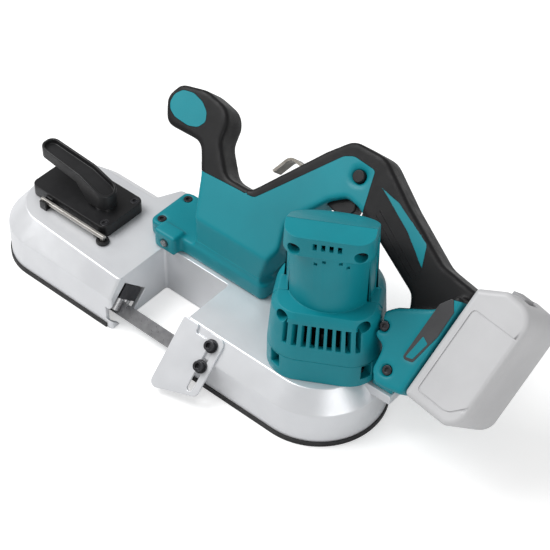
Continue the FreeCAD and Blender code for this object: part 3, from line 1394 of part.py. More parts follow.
def handle_prism(shares, low, high):
    return prism(rounded(handle_corners(shares)), low, high)


def soften(solid, radius):
    """Round the edges that bound a flat piece's two broad faces."""
    levels = (solid.BoundBox.ZMin, solid.BoundBox.ZMax)
    rim = [edge for edge in solid.Edges
           if any(abs(edge.BoundBox.ZMin - level) + abs(edge.BoundBox.ZMax - level) < radius * TINY_SHARE
                  for level in levels)]
    return solid.makeFillet(radius, rim)


def battery_place(along, out, up):
    """A point in the battery's own directions: along its slide, out from the foot, up from the mid-plane."""
    lean = math.radians(size.battery_lean)
    foot_p, foot_q = (share * size.handle_length for share in BATTERY_SHARES)
    return Vector(foot_p + along * math.sin(lean) + out * math.cos(lean),
                  foot_q + along * math.cos(lean) - out * math.sin(lean), size.handle_plane + up)


def battery_box(low_along, high_along, low_out, high_out, half_width):
    corners = [battery_place(low_along, low_out, -half_width),
               battery_place(high_along, low_out, -half_width),
               battery_place(high_along, high_out,
                             -half_width), battery_place(low_along, high_out, -half_width)]
    return Part.Face(Part.makePolygon(corners + corners[:1])).extrude(UP * (2 * half_width))


mid = s.handle_plane
plate_solid = soften(handle_prism(HANDLE_SHARES, far_face, near_face), s.handle_edge)
foot = soften(handle_prism(FOOT_SHARES, mid - s.foot_half_width, mid + s.foot_half_width), s.handle_edge)

# rubber skins: a layer of the handle's own form over the core
inner_wire = rounded(handle_corners(HANDLE_SHARES)).makeOffset2D(-s.grip_skin)
core = prism(inner_wire, far_face + s.grip_skin, near_face - s.grip_skin)
skin = plate_solid.cut(core)
deep = s.handle_length
front_skin = skin.common(handle_prism(FRONT_GRIP_SHARES, -deep,
                                      deep)).cut(handle_prism(WINDOW_SHARES, -deep, deep))
main_skin = skin.common(handle_prism(MAIN_GRIP_SHARES, -deep,
                                     deep)).cut(handle_prism(CRESCENT_SHARES, -deep, deep))
main_skin = main_skin.cut(foot)
body = plate_solid.cut(front_skin).cut(main_skin)

# trigger, its pocket and the switch behind it
pull = Vector(PULL_SHARES[0], PULL_SHARES[1], 0)
trigger = soften(handle_prism(TRIGGER_SHARES, mid - s.trigger_half_width, mid + s.trigger_half_width),
                 s.trigger_edge)
room_wire = rounded(handle_corners(TRIGGER_SHARES)).makeOffset2D(s.free_clearance)
room = prism(room_wire, mid - s.trigger_half_width - s.free_clearance,
             mid + s.trigger_half_width + s.free_clearance)
steps = int(s.trigger_steps)
rooms = []
for step in range(steps + 1):
    moved_room = room.copy()
    moved_room.translate(pull * (s.trigger_travel * step / steps))
    rooms.append(moved_room)
switch = handle_prism(SWITCH_SHARES, mid - s.switch_half_width, mid + s.switch_half_width)

# lock button in a dish beside the trigger
button_at = Vector(BUTTON_SHARES[0] * s.handle_length, BUTTON_SHARES[1] * s.handle_length, 0)
button_top = near_face - s.button_dish + s.button_proud
button = rod(s.button_radius, button_at + UP * (button_top - s.button_length),
             button_at + UP * button_top)
button_hole = rod(s.button_radius + s.free_clearance,
                  button_at + UP * (button_top - s.button_length - s.button_travel - s.free_clearance),
                  button_at + UP * (near_face + past))
dish = rod(s.button_dish_radius, button_at + UP * (near_face - s.button_dish),
           button_at + UP * (near_face + past))

# battery: case with a tongue that slides in the foot's channel
case_corners = []
for along_share, out_share, radius_share in CASE_SHARES:
    out = s.battery_gap + out_share * (s.battery_height - s.battery_gap)
    corner = battery_place(along_share * s.battery_length, out, 0)
    case_corners.append((corner.x, corner.y, radius_share * s.battery_height))
case = prism(rounded(case_corners), mid - s.battery_width / 2, mid + s.battery_width / 2)
case = soften(case, s.battery_edge)
tongue = battery_box(s.rail_start, s.rail_start + s.rail_run, -s.rail_height,
                     s.battery_gap + s.battery_edge,
                     s.rail_half_width)
release_low = s.battery_length - s.release_depth
release_high = s.battery_length + s.release_proud
release = battery_box(release_low, release_high, s.release_drop, s.release_drop + s.release_height,
                      s.release_width / 2)
release_room = battery_box(release_low - s.free_clearance, release_high + past,
                           s.release_drop - s.free_clearance,
                           s.release_drop + s.release_height + s.release_travel + s.free_clearance,
                           s.release_width / 2 + s.free_clearance)
channel = battery_box(s.rail_start - s.free_clearance, s.battery_length * 2,
                      -s.rail_height - s.free_clearance,
                      s.battery_height, s.rail_half_width + s.free_clearance)
beyond = battery_box(-s.battery_length, s.battery_length * 2, 0, s.battery_height, s.battery_width)
terminal_face = -s.rail_height - s.free_clearance
terminal = battery_box(s.terminal_start, s.terminal_start + s.terminal_length,
                       terminal_face - s.terminal_height, terminal_face, s.terminal_half_width)
hook_at = Vector(HOOK_SHARES[0][0] * s.handle_length, HOOK_SHARES[0][1] * s.handle_length, 0)
hook_pin_end = far_face + s.hook_pin_depth
hook_hole = rod(s.hook_pivot_radius + s.running_clearance, hook_at,
                hook_at + UP * (hook_pin_end + s.free_clearance))

# shell screws from the far side, foot screws from the near side, and the ways in to them
shell_seats = [Vector(share_p * s.handle_length, share_q * s.handle_length, far_face + s.screw_sink)
               for share_p, share_q in SHELL_SCREW_SHARES]
foot_seats = [Vector(share_p * s.handle_length, share_q * s.handle_length,
                     mid + s.foot_half_width - s.screw_sink)
              for share_p, share_q in FOOT_SCREW_SHARES]
shell_screws = [screw(seat, UP) for seat in shell_seats]
foot_screws = []
for seat in foot_seats:
    head = rod(s.screw_head_radius, seat, seat + UP * s.screw_head_height)
    foot_screws.append(head.fuse(rod(s.screw_radius, seat,
                                     Vector(seat.x, seat.y, mid - s.screw_length))).removeSplitter())
screw_ways = [rod(s.screw_pocket_radius, seat, seat + UP * (s.screw_sink + past)) for seat in foot_seats]
screw_ways += [rod(s.screw_pocket_radius, seat,
                   seat - UP * (s.screw_sink + past)) for seat in shell_seats]
body = body.fuse(foot)
flat_cut = Part.makeCompound([rooms[0].multiFuse(rooms[1:]), switch, button_hole, dish])
body = body.cut(flat_cut).cut(channel).cut(beyond).cut(terminal).cut(hook_hole)
body = body.cut(Part.makeCompound(screw_ways)).cut(Part.makeCompound(shell_screws + foot_screws))
main_skin = main_skin.cut(flat_cut).cut(channel).cut(beyond)

# foot bands: thin plates let into the foot's two sides
bands = []
for low, high in ((mid + s.foot_half_width - s.band_thickness, mid + s.foot_half_width),
                  (mid - s.foot_half_width, mid - s.foot_half_width + s.band_thickness)):
    bands.append(handle_prism(BAND_SHARES, low, high).cut(beyond))
band_pair = Part.makeCompound(bands)
body = body.cut(band_pair)
node("foot_band", shaped(tilted(band_pair)))

# base that stands on the deck, and the tab that stands on the casting's lug
base_corner = s.handle_base_corner
base = prism(rounded([(-s.handle_base_left, -s.handle_base_front, base_corner),
                      (s.handle_base_right, -s.handle_base_front, base_corner),
                      (s.handle_base_right, s.handle_base_back, base_corner),
                      (-s.handle_base_left, s.handle_base_back,
                       base_corner)]), deck, deck + s.handle_base_height)
lamp_boss = brick(-s.handle_boss_left, -s.handle_boss_right, -s.handle_boss_front,
                  -s.handle_base_front + base_corner,
                  deck, deck + s.handle_boss_height)
tab = brick(s.foot_tab_left, s.foot_lug_right, -s.foot_lug_front + past, past, s.foot_lug_top,
            s.foot_lug_top + s.foot_tab_height)
lens_axis = Vector(0, 1, 0)
lens_face = Vector(-s.lens_place, -s.handle_boss_front, s.lens_height)
lens = rod(s.lens_radius, lens_face - lens_axis * s.lens_proud, lens_face + lens_axis * s.lens_depth)
slope_foot = Vector(-s.handle_base_left, -s.handle_base_front, deck)
slope_head = Vector(-s.handle_base_left, -s.handle_slope_front, s.handle_slope_top)
slope_points = [slope_foot, slope_head, Vector(-s.handle_base_left, -far, s.handle_slope_top),
                Vector(-s.handle_base_left, -far, deck)]
front_slope = Part.Face(Part.makePolygon(slope_points + slope_points[:1]))
front_slope = front_slope.extrude(ALONG * (s.handle_base_left + s.handle_base_right))
low_cut = brick(-s.handle_base_left - past, s.handle_base_right + past, -far, far, -far, deck)
foot_cut = brick(s.throat_right, s.foot_trim, -far, far, -far, s.foot_lug_top)
near_half = tilted(body.common(brick(-deep, deep, -deep, deep, mid, deep)))
far_half = tilted(body.common(brick(-deep, deep, -deep, deep, -deep, mid)))
near_half = near_half.cut(front_slope).cut(low_cut).cut(foot_cut)
far_half = far_half.cut(front_slope).cut(low_cut).cut(foot_cut)
far_half = far_half.multiFuse([base, lamp_boss, tab.cut(tilted(channel)).cut(tilted(beyond))])
handle_screws = [tilted(piece) for piece in shell_screws + foot_screws]
far_half = far_half.cut(lens).cut(Part.makeCompound(housing_screw_shapes + handle_screws))
near_half = near_half.cut(far_half)
motor_clear = motor_plan(s.motor_base_half + s.free_clearance, s.motor_base_front + s.free_clearance,
                         s.motor_base_corner, 0)
motor_clear = at_motor(prism(motor_clear, deck, s.motor_shoulder))
node("handle_near", shaped(near_half.cut(motor_clear).removeSplitter()))
node("handle_far", shaped(far_half.cut(motor_clear).removeSplitter()))
node("front_grip", shaped(tilted(front_skin)))
node("main_grip", shaped(tilted(main_skin)))
node("lamp_lens", shaped(lens))
node("housing_screws", shaped(Part.makeCompound(housing_screw_shapes + handle_screws)))
node("trigger", shaped(tilted(trigger)))
node("trigger_switch", shaped(tilted(switch)))
node("lock_button", shaped(tilted(button)))
node("battery_terminal", shaped(tilted(terminal)))
case = case.fuse(tongue).cut(release_room)
node("battery_case", shaped(tilted(case.removeSplitter())))
node("battery_button", shaped(tilted(release)))


# Hanging hook: a bent strip on a pin behind the handle

def strip(points, thickness):
    """The outline of a bent strip whose middle line runs through (x, y, radius) points."""
    left = []
    right = []
    for number, (x, y, radius) in enumerate(points):
        here = Vector(x, y, 0)
        before = here - Vector(*points[number - 1][:2], 0) if number else None
        after = Vector(*points[number + 1][:2], 0) - here if number + 1 < len(points) else None
        ways = [way.normalize() for way in (before, after) if way]
        mean = (ways[0] + ways[-1]).normalize()
        side = Vector(-mean.y, mean.x, 0)
        reach = thickness / 2 / side.dot(Vector(-ways[0].y, ways[0].x, 0))
        turns_left = len(ways) == 2 and ways[0].cross(ways[1]).z > 0
        swing = thickness / 2 if radius else 0
        left.append((x + side.x * reach, y + side.y * reach, radius + (-swing if turns_left else swing)))
        right.append((x - side.x * reach, y - side.y * reach, radius + (swing if turns_left else -swing)))
    return rounded(left + right[::-1])


hook_low = far_face - s.hook_gap - s.hook_width
hook_high = far_face - s.hook_gap
hook = prism(strip(handle_corners(HOOK_SHARES), s.hook_thickness), hook_low, hook_high)
hook = hook.fuse(rod(s.hook_eye_radius, hook_at + UP * hook_low, hook_at + UP * hook_high))
hook = hook.fuse(rod(s.hook_pivot_radius, hook_at + UP * hook_high, hook_at + UP * hook_pin_end))
node("hanging_hook", shaped(tilted(hook.removeSplitter())))

# Work stop: a slotted plate on the housing's bevel, clamped by two bolts
stop_low = bevel_n + s.stop_play
stop_high = stop_low + s.stop_thickness
stop_left = s.throat_right - s.stop_flange_gap - s.stop_thickness
stop_right = stop_left + s.stop_width
stop_bottom = -s.stop_top - s.stop_length
notch_right = stop_bolt_p - s.stop_washer_radius - s.stop_thickness / 2
notch_left = notch_right - s.stop_notch
notch_floor = -s.stop_top - s.stop_notch_depth
stop = prism(rounded([(stop_left, -s.stop_top, s.stop_thickness),
                      (stop_left, stop_bottom, s.stop_washer_radius),
                      (stop_right, stop_bottom + s.stop_slant, s.stop_washer_radius),
                      (stop_right, -s.stop_top, s.stop_washer_radius),
                      (notch_right, -s.stop_top, s.stop_thickness), (notch_right, notch_floor,
                                                                     s.stop_thickness),
                      (notch_left, notch_floor, s.stop_thickness),
                      (notch_left, -s.stop_top, s.stop_thickness)]), stop_low, stop_high)
stop = stop.fuse(brick(stop_left, stop_left + s.stop_thickness, stop_bottom + s.stop_slant,
                       notch_floor, stop_high - s.stop_flange, stop_high))
slot_top = stop_bolt_q[0] + s.stop_slot_radius
slot_round = s.stop_slot_radius * s.slot_round_share
slot_wire = rounded([(stop_bolt_p - s.stop_slot_radius, slot_top, slot_round),
                     (stop_bolt_p + s.stop_slot_radius, slot_top, slot_round),
                     (stop_bolt_p + s.stop_slot_radius, -s.stop_slot_end, slot_round),
                     (stop_bolt_p - s.stop_slot_radius, -s.stop_slot_end, slot_round)])
stop = stop.cut(prism(slot_wire, stop_low - past, stop_high + past))
node("stop_plate", shaped(tilted(stop.removeSplitter())))
bolts = []
for bolt_q in stop_bolt_q:
    foot_point = Vector(stop_bolt_p, bolt_q, 0)
    washer_low = stop_high + s.stop_play
    head_low = washer_low + s.stop_washer_height
    bolt = rod(s.stop_bolt_radius, foot_point + UP * (bevel_n - s.stop_bolt_length),
               foot_point + UP * head_low)
    bolt = bolt.fuse(rod(s.stop_washer_radius, foot_point + UP * washer_low, foot_point + UP * head_low))
    bolt = bolt.fuse(rod(s.stop_head_radius, foot_point + UP * head_low,
                         foot_point + UP * (head_low + s.stop_head_height)))
    bolts.append(tilted(bolt.removeSplitter()))
node("stop_bolts", shaped(Part.makeCompound(bolts)))

# Check every object, then write one file for each sub-part
doc.recompute()
for thing in doc.Objects:
    if "Invalid" in thing.State or "Error" in thing.State:
        raise RuntimeError(f"{thing.Label} failed: {thing.State}")
for thing in NODES:
    if thing.Shape.isNull() or not thing.Shape.isValid():
        raise RuntimeError(f"{thing.Label} has no valid shape")
os.makedirs("parts", exist_ok=True)
for thing in NODES:
    thing.Shape.exportStep(f"parts/{thing.Label}.step")
    box = thing.Shape.BoundBox
    print(f"{thing.Label:22s} solids {len(thing.Shape.Solids):3d} volume {thing.Shape.Volume:9.0f} mm3",
          f"x {box.XMin:.1f} {box.XMax:.1f} y {box.YMin:.1f} {box.YMax:.1f} z {box.ZMin:.1f} {box.ZMax:.1f}")
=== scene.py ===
import math
import bpy
from mathutils import Matrix, Vector


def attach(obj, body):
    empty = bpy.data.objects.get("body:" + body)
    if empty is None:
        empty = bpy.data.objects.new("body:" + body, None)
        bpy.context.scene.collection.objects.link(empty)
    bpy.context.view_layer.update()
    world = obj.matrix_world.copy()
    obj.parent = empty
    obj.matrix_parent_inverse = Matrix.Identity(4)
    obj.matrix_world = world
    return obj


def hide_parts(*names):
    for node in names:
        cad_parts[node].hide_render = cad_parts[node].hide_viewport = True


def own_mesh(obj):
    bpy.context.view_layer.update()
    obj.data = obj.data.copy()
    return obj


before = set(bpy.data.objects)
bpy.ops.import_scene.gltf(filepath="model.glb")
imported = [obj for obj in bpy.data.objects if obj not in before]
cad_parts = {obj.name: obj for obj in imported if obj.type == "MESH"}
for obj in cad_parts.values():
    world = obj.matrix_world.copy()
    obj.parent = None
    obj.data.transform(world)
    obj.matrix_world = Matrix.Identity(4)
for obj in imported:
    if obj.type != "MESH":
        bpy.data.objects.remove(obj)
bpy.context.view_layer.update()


# The casting: one piece of aluminium with the idler arm, the spine and the drive housing.
# It is pressure cast, its edges are broken, and it is sprayed with silver paint.
def new_material(name):
    """An empty node material with its shader, and the piece's own coordinates."""
    material = bpy.data.materials.new(name)
    material.use_nodes = True
    nodes = material.node_tree.nodes
    shader = nodes["Principled BSDF"]
    place = nodes.new("ShaderNodeTexCoord").outputs["Object"]
    return material, nodes, material.node_tree.links, shader, place


def noise(nodes, links, place, size, detail=4.0):
    """A noise whose patches are about size metres across."""
    texture = nodes.new("ShaderNodeTexNoise")
    texture.inputs["Scale"].default_value = 1.0 / size
    texture.inputs["Detail"].default_value = detail
    links.new(place, texture.inputs["Vector"])
    return texture.outputs["Fac"]


def spread(nodes, links, value, low, high, from_low=0.3, from_high=0.7):
    """Turns a noise value into a number between low and high."""
    span = nodes.new("ShaderNodeMapRange")
    span.inputs["From Min"].default_value = from_low
    span.inputs["From Max"].default_value = from_high
    span.inputs["To Min"].default_value = low
    span.inputs["To Max"].default_value = high
    links.new(value, span.inputs["Value"])
    return span.outputs["Result"]


def blend_colours(nodes, links, value, first, second):
    """A colour between first and second, by a value from 0 to 1."""
    mix = nodes.new("ShaderNodeMix")
    mix.data_type = "RGBA"
    mix.inputs["A"].default_value = (*first, 1.0)
    mix.inputs["B"].default_value = (*second, 1.0)
    links.new(value, mix.inputs["Factor"])
    return mix.outputs["Result"]


def edge_wear(nodes, links, radius, ragged, samples=4, limits=(0.80, 0.97)):
    """1 on worn edges and 0 elsewhere: where a rounded normal leaves the true one."""
    rounded = nodes.new("ShaderNodeBevel")
    rounded.samples = samples
    rounded.inputs["Radius"].default_value = radius
    true_normal = nodes.new("ShaderNodeNewGeometry").outputs["Normal"]
    likeness = nodes.new("ShaderNodeVectorMath")
    likeness.operation = "DOT_PRODUCT"
    links.new(rounded.outputs["Normal"], likeness.inputs[0])
    links.new(true_normal, likeness.inputs[1])
    edge = spread(nodes, links, likeness.outputs["Value"], 1.0, 0.0, *limits)
    worn = nodes.new("ShaderNodeMath")
    worn.operation = "MULTIPLY"
    links.new(edge, worn.inputs[0])
    links.new(ragged, worn.inputs[1])
    return worn.outputs["Value"]


def surface(name, colour, shade, wear=None, metallic=0.0, roughness=(0.35, 0.5),
            patch=0.03, grain=0.0006, bump=0.12, edge=0.0008, sheen=0.5,
            most_wear=0.8, wear_cover=(0.42, 0.62), grain_detail=2.0):
    """A made surface: patchy colour, uneven gloss, a fine grain and, with wear, rubbed edges."""
    material, nodes, links, shader, place = new_material(name)
    wear_patch = patch / 5
    gloss_patch = patch / 3
    patches = noise(nodes, links, place, patch)
    tone = blend_colours(nodes, links, spread(nodes, links, patches, 0.0, 1.0), colour, shade)
    if wear:
        ragged = spread(nodes, links, noise(nodes, links, place, wear_patch), 0.0, most_wear, *wear_cover)
        rubbed = nodes.new("ShaderNodeMix")
        rubbed.data_type = "RGBA"
        rubbed.inputs["B"].default_value = (*wear, 1.0)
        links.new(edge_wear(nodes, links, edge, ragged), rubbed.inputs["Factor"])
        links.new(tone, rubbed.inputs["A"])
        tone = rubbed.outputs["Result"]
    links.new(tone, shader.inputs["Base Color"])
    gloss = spread(nodes, links, noise(nodes, links, place, gloss_patch), *roughness)
    links.new(gloss, shader.inputs["Roughness"])
    shader.inputs["Metallic"].default_value = metallic
    shader.inputs["Specular IOR Level"].default_value = sheen
    relief = nodes.new("ShaderNodeBump")
    relief.inputs["Strength"].default_value = bump
    relief.inputs["Distance"].default_value = grain
    links.new(noise(nodes, links, place, grain, grain_detail), relief.inputs["Height"])
    links.new(relief.outputs["Normal"], shader.inputs["Normal"])
    return material


def take(piece):
    """Makes one piece the only one that the next tool works on."""
    bpy.ops.object.select_all(action="DESELECT")
    piece.select_set(True)
    bpy.context.view_layer.objects.active = piece


MERGE_DISTANCE = 0.00001
FLAT_ANGLE = math.radians(0.6)
SOFT_ANGLE = math.radians(40.0)


def copy_of(node, name, whole=True):
    """A copy of a CAD piece with its triangles joined, and with whole, merged into flat faces."""
    piece = bpy.data.objects.new(name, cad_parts[node].data.copy())
    bpy.context.scene.collection.objects.link(piece)
    take(piece)
    bpy.ops.object.mode_set(mode="EDIT")
    bpy.ops.mesh.select_all(action="SELECT")
    bpy.ops.mesh.customdata_custom_splitnormals_clear()
    bpy.ops.mesh.remove_doubles(threshold=MERGE_DISTANCE)
    if whole:
        bpy.ops.mesh.dissolve_limited(angle_limit=FLAT_ANGLE)
    bpy.ops.object.mode_set(mode="OBJECT")
    return piece


def smooth(piece):
    """Shades a piece smooth across its soft edges, and flat on its broad faces."""
    take(piece)
    bpy.ops.object.shade_smooth_by_angle(angle=SOFT_ANGLE)
    flats = piece.modifiers.new("flats", "WEIGHTED_NORMAL")
    flats.keep_sharp = True
    bpy.ops.object.modifier_apply(modifier=flats.name)


def choose_faces(piece, test):
    """Opens a piece for editing with only the faces that pass a test chosen."""
    take(piece)
    bpy.ops.object.mode_set(mode="EDIT")
    bpy.ops.mesh.select_mode(type="FACE")
    bpy.ops.mesh.select_all(action="DESELECT")
    bpy.ops.object.mode_set(mode="OBJECT")
    for face in piece.data.polygons:
        face.select = test(face)
    bpy.ops.object.mode_set(mode="EDIT")


def fit(piece, material, body, slot, *nodes):
    """Paints a finished piece and sets it on its body, in place of CAD pieces."""
    piece.data.materials.clear()
    piece.data.materials.append(material)
    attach(piece, body)
    if nodes:
        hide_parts(*nodes)


silver_paint = surface("silver_paint", (0.76, 0.77, 0.79), (0.70, 0.71, 0.735),
                       wear=(0.88, 0.88, 0.90), metallic=0.42, roughness=(0.30, 0.38), patch=0.05,
                       grain=0.0004, bump=0.06)
DOWNWARD = -0.5
RIM_TOP = 0.0065
CAST_EDGE = 0.0009
SHARP_ANGLE = math.radians(38.0)
casting = copy_of("main_frame", "casting", whole=False)
choose_faces(casting, lambda face: face.normal.z > DOWNWARD)
bpy.ops.mesh.dissolve_limited(angle_limit=FLAT_ANGLE)
bpy.ops.mesh.select_mode(type="EDGE")
bpy.ops.mesh.select_all(action="DESELECT")
bpy.ops.mesh.edges_select_sharp(sharpness=SHARP_ANGLE)
bpy.ops.object.mode_set(mode="OBJECT")
corners = casting.data.vertices
for edge in casting.data.edges:
    edge.select = edge.select and min(corners[number].co.z for number in edge.vertices) > RIM_TOP
bpy.ops.object.mode_set(mode="EDIT")
bpy.ops.mesh.bevel(offset=CAST_EDGE, segments=2, clamp_overlap=False, loop_slide=False)
bpy.ops.object.mode_set(mode="OBJECT")
for corner in casting.data.vertices:
    corner.co.z = max(corner.co.z, 0.0)
smooth(casting)
fit(casting, silver_paint, "frame", "frame_silver", "main_frame")


# The bumpers: two black rubber strips pressed into the groove along the casting's lower rim.
# They are extruded, cut to length and glued.
def finish_in(material, *nodes):
    """Gives CAD pieces one material all over."""
    for node in nodes:
        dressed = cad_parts[node].data
        dressed.materials.clear()
        dressed.materials.append(material)


strip_rubber = surface("strip_rubber", (0.014, 0.014, 0.015), (0.009, 0.009, 0.010),
                       wear=(0.05, 0.05, 0.05), roughness=(0.55, 0.7), patch=0.02, grain=0.0005,
                       bump=0.25)
finish_in(strip_rubber, "bumper_idler", "bumper_drive")

# The band wheels: two die cast wheels with rubber tyres, their bearings, spindle and axle.
# They are turned bright where they run. The gear cover is of the same alloy, and the bearings of
# the gears and the motor are of the same steel.
turned_alloy = surface("turned_alloy", (0.62, 0.63, 0.65), (0.52, 0.53, 0.55), metallic=0.9,
                       roughness=(0.28, 0.42), patch=0.03, grain=0.0003, bump=0.1)
tyre_rubber = surface("tyre_rubber", (0.025, 0.025, 0.026), (0.017, 0.017, 0.018),
                      wear=(0.07, 0.07, 0.07), roughness=(0.6, 0.75), patch=0.02, grain=0.0007, bump=0.3)
bright_steel = surface("bright_steel", (0.58, 0.58, 0.59), (0.46, 0.46, 0.47), metallic=1.0,
                       roughness=(0.22, 0.36), patch=0.01, grain=0.0008, bump=0.02)
finish_in(turned_alloy, "drive_wheel", "idler_wheel", "gear_cover")
finish_in(tyre_rubber, "drive_tyre", "idler_tyre")
finish_in(bright_steel, "drive_spindle", "idler_axle", "idler_bearings", "spindle_bearings",
          "intermediate_bearings", "motor_bearings")

# The gears: two stages of hardened steel between the motor and the drive wheel.
# Their teeth are cut, and they and their shafts carry a film of grease.
gear_steel = surface("gear_steel", (0.36, 0.35, 0.34), (0.25, 0.24, 0.23), metallic=1.0,
                     roughness=(0.2, 0.32), patch=0.008, grain=0.0002, bump=0.06)
finish_in(gear_steel, "drive_gear", "intermediate_gear", "intermediate_shaft", "motor_pinion",
          "motor_shaft")

# The guides: steel blocks bolted under the deck, each with three ground rollers.
# They twist the band by 45 degrees and hold it where it cuts. The frame screws are blackened too.
blued_steel = surface("blued_steel", (0.06, 0.06, 0.065), (0.035, 0.035, 0.04), wear=(0.2, 0.2, 0.21),
                      metallic=0.8, roughness=(0.3, 0.45), patch=0.01, grain=0.0003, bump=0.1)
finish_in(blued_steel, "guide_blocks", "frame_screws")
finish_in(bright_steel, "face_roller_left_upper", "face_roller_left_lower", "back_roller_left",
          "face_roller_right_upper", "face_roller_right_lower", "back_roller_right")


# The saw band: a welded loop of thin spring steel, with fine teeth where it crosses the throat.
# The teeth are milled out of the strip's front edge, and the flanks keep the rolling marks.
PER_METRE = 1000.0
DIAGONAL = math.sqrt(0.5)


def tilt(along, across, out):
    """A point of the tilted plane of the handle and the cut, in metres of the whole saw."""
    return Vector((along, (across - out) * DIAGONAL, (across + out) * DIAGONAL)) / PER_METRE


def carve(piece, tool, way="DIFFERENCE"):
    """Cuts a piece with a tool, which is then thrown away."""
    take(piece)
    cutter = piece.modifiers.new("carve", "BOOLEAN")
    cutter.operation = way
    cutter.solver = "EXACT"
    cutter.object = tool
    bpy.ops.object.modifier_apply(modifier=cutter.name)
    bpy.data.objects.remove(tool)


def settle(piece):
    """Puts a finished piece's place into its mesh."""
    take(piece)
    bpy.ops.object.transform_apply(location=True, rotation=True, scale=True)


TILTED = math.radians(45.0)
BAND_EDGE = -55.85
BAND_LEVEL = 69.06
TOOTH_PITCH = 1.8
TOOTH_DEPTH = 1.0
TOOTH_FIRST = -74.0
TOOTH_COUNT = 70
GULLET_DEPTH = 3.0
BAND_SOFT_ANGLE = math.radians(30.0)
band = copy_of("saw_blade", "saw_band", whole=False)
bpy.ops.object.select_all(action="DESELECT")
bpy.ops.mesh.primitive_cylinder_add(vertices=3, radius=TOOTH_DEPTH / PER_METRE,
                                    depth=GULLET_DEPTH / PER_METRE,
                                    location=tilt(TOOTH_FIRST, BAND_EDGE, BAND_LEVEL),
                                    rotation=(TILTED, 0.0, 0.0))
gullet = bpy.context.object
settle(gullet)
row = gullet.modifiers.new("row", "ARRAY")
row.count = TOOTH_COUNT
row.use_relative_offset = False
row.use_constant_offset = True
row.constant_offset_displace = (TOOTH_PITCH / PER_METRE, 0.0, 0.0)
bpy.ops.object.modifier_apply(modifier=row.name)
carve(band, gullet)
take(band)
bpy.ops.object.shade_smooth_by_angle(angle=BAND_SOFT_ANGLE)
rolled_steel = surface("rolled_steel", (0.36, 0.36, 0.37), (0.28, 0.28, 0.29), wear=(0.6, 0.6, 0.6),
                       metallic=0.9, roughness=(0.26, 0.4), patch=0.006, grain=0.0003, bump=0.1)
fit(band, rolled_steel, "frame", "band_steel", "saw_blade")

# The motor's inside: magnets in a steel ring, a wound armature, its copper ring, brushes and fan.
# None of it shows but through the vents, and each part has its own material.
ring_steel = surface("ring_steel", (0.30, 0.30, 0.31), (0.22, 0.22, 0.23), metallic=0.9,
                     roughness=(0.35, 0.5))
ferrite = surface("ferrite", (0.035, 0.034, 0.034), (0.024, 0.023, 0.023), roughness=(0.5, 0.65),
                  bump=0.3)
copper_wire = surface("copper_wire", (0.45, 0.16, 0.05), (0.30, 0.09, 0.03), metallic=0.9,
                      roughness=(0.3, 0.45), patch=0.004, grain=0.0005, bump=0.5)
copper_bar = surface("copper_bar", (0.72, 0.34, 0.18), (0.58, 0.25, 0.12), metallic=1.0,
                     roughness=(0.2, 0.35), patch=0.006, grain=0.0003)
carbon = surface("carbon", (0.028, 0.028, 0.03), (0.02, 0.02, 0.021), roughness=(0.45, 0.6), bump=0.3)
black_plastic = surface("black_plastic", (0.012, 0.012, 0.013), (0.008, 0.008, 0.009),
                        wear=(0.04, 0.04, 0.042), roughness=(0.34, 0.46), patch=0.02, grain=0.0005,
                        bump=0.18, sheen=0.28)
finish_in(ring_steel, "stator_yoke", "armature_core")
finish_in(ferrite, "stator_magnets")
finish_in(copper_wire, "armature_winding")
finish_in(copper_bar, "commutator")
finish_in(carbon, "carbon_brushes")
finish_in(black_plastic, "brush_plate", "motor_fan")


# The motor's shell: a base that holds the motor and a front cover, both moulded in teal nylon.
# The two meet in a seam along the ridge, and the cover has cooling slots and small square holes.
def teal(name, patch):
    """Teal nylon as it leaves the mould, with a fine spark texture."""
    return surface(name, (0.0018, 0.235, 0.285), (0.0015, 0.205, 0.250), wear=(0.02, 0.29, 0.33),
                   roughness=(0.38, 0.48), patch=patch, grain=0.0005, bump=0.14, sheen=0.3)


def break_edges(piece, width, segments=2):
    """Rounds every sharp edge of a piece, and smooths the rest."""
    take(piece)
    bevel = piece.modifiers.new("broken_edges", "BEVEL")
    bevel.width = width
    bevel.segments = segments
    bevel.limit_method = "ANGLE"
    bevel.angle_limit = SHARP_ANGLE
    bevel.use_clamp_overlap = False
    bevel.loop_slide = False
    bpy.ops.object.modifier_apply(modifier=bevel.name)
    smooth(piece)


def block(place, size, turn=(0.0, 0.0, 0.0)):
    """A cutting block with its middle at a place, in millimetres."""
    bpy.ops.object.select_all(action="DESELECT")
    bpy.ops.mesh.primitive_cube_add(size=1.0, location=Vector(place) / PER_METRE, rotation=turn)
    cutter = bpy.context.object
    cutter.scale = Vector(size) / PER_METRE
    settle(cutter)
    return cutter


MOTOR_AXIS = (131.0, -24.0)
MOTOR_TURN = math.radians(30.0)
HOLE_REACH = 35.5
HOLE_PLACES = ((-14.5, 174.5), (-3.6, 178.5), (17.6, 177.5), (27.5, 172.5))
HOLE_SIDE = 3.0
HOLE_DEPTH = 4.0
MOTOR_BASE_EDGE = 0.0008
MOTOR_FRONT_EDGE = 0.0007
motor_teal = teal("motor_teal", patch=0.04)
motor_base = copy_of("motor_housing", "motor_base")
break_edges(motor_base, MOTOR_BASE_EDGE)
fit(motor_base, motor_teal, "frame", "teal_plastic", "motor_housing")
motor_front = copy_of("motor_cover", "motor_front")
break_edges(motor_front, MOTOR_FRONT_EDGE)
for angle, height in HOLE_PLACES:
    turn = MOTOR_TURN + math.radians(angle)
    hole = (MOTOR_AXIS[0] + HOLE_REACH * math.sin(turn),
            MOTOR_AXIS[1] - HOLE_REACH * math.cos(turn), height)
    carve(motor_front, block(hole, (HOLE_SIDE, HOLE_DEPTH, HOLE_SIDE), (0.0, 0.0, turn)))
smooth(motor_front)
fit(motor_front, motor_teal, "frame", "teal_plastic", "motor_cover")

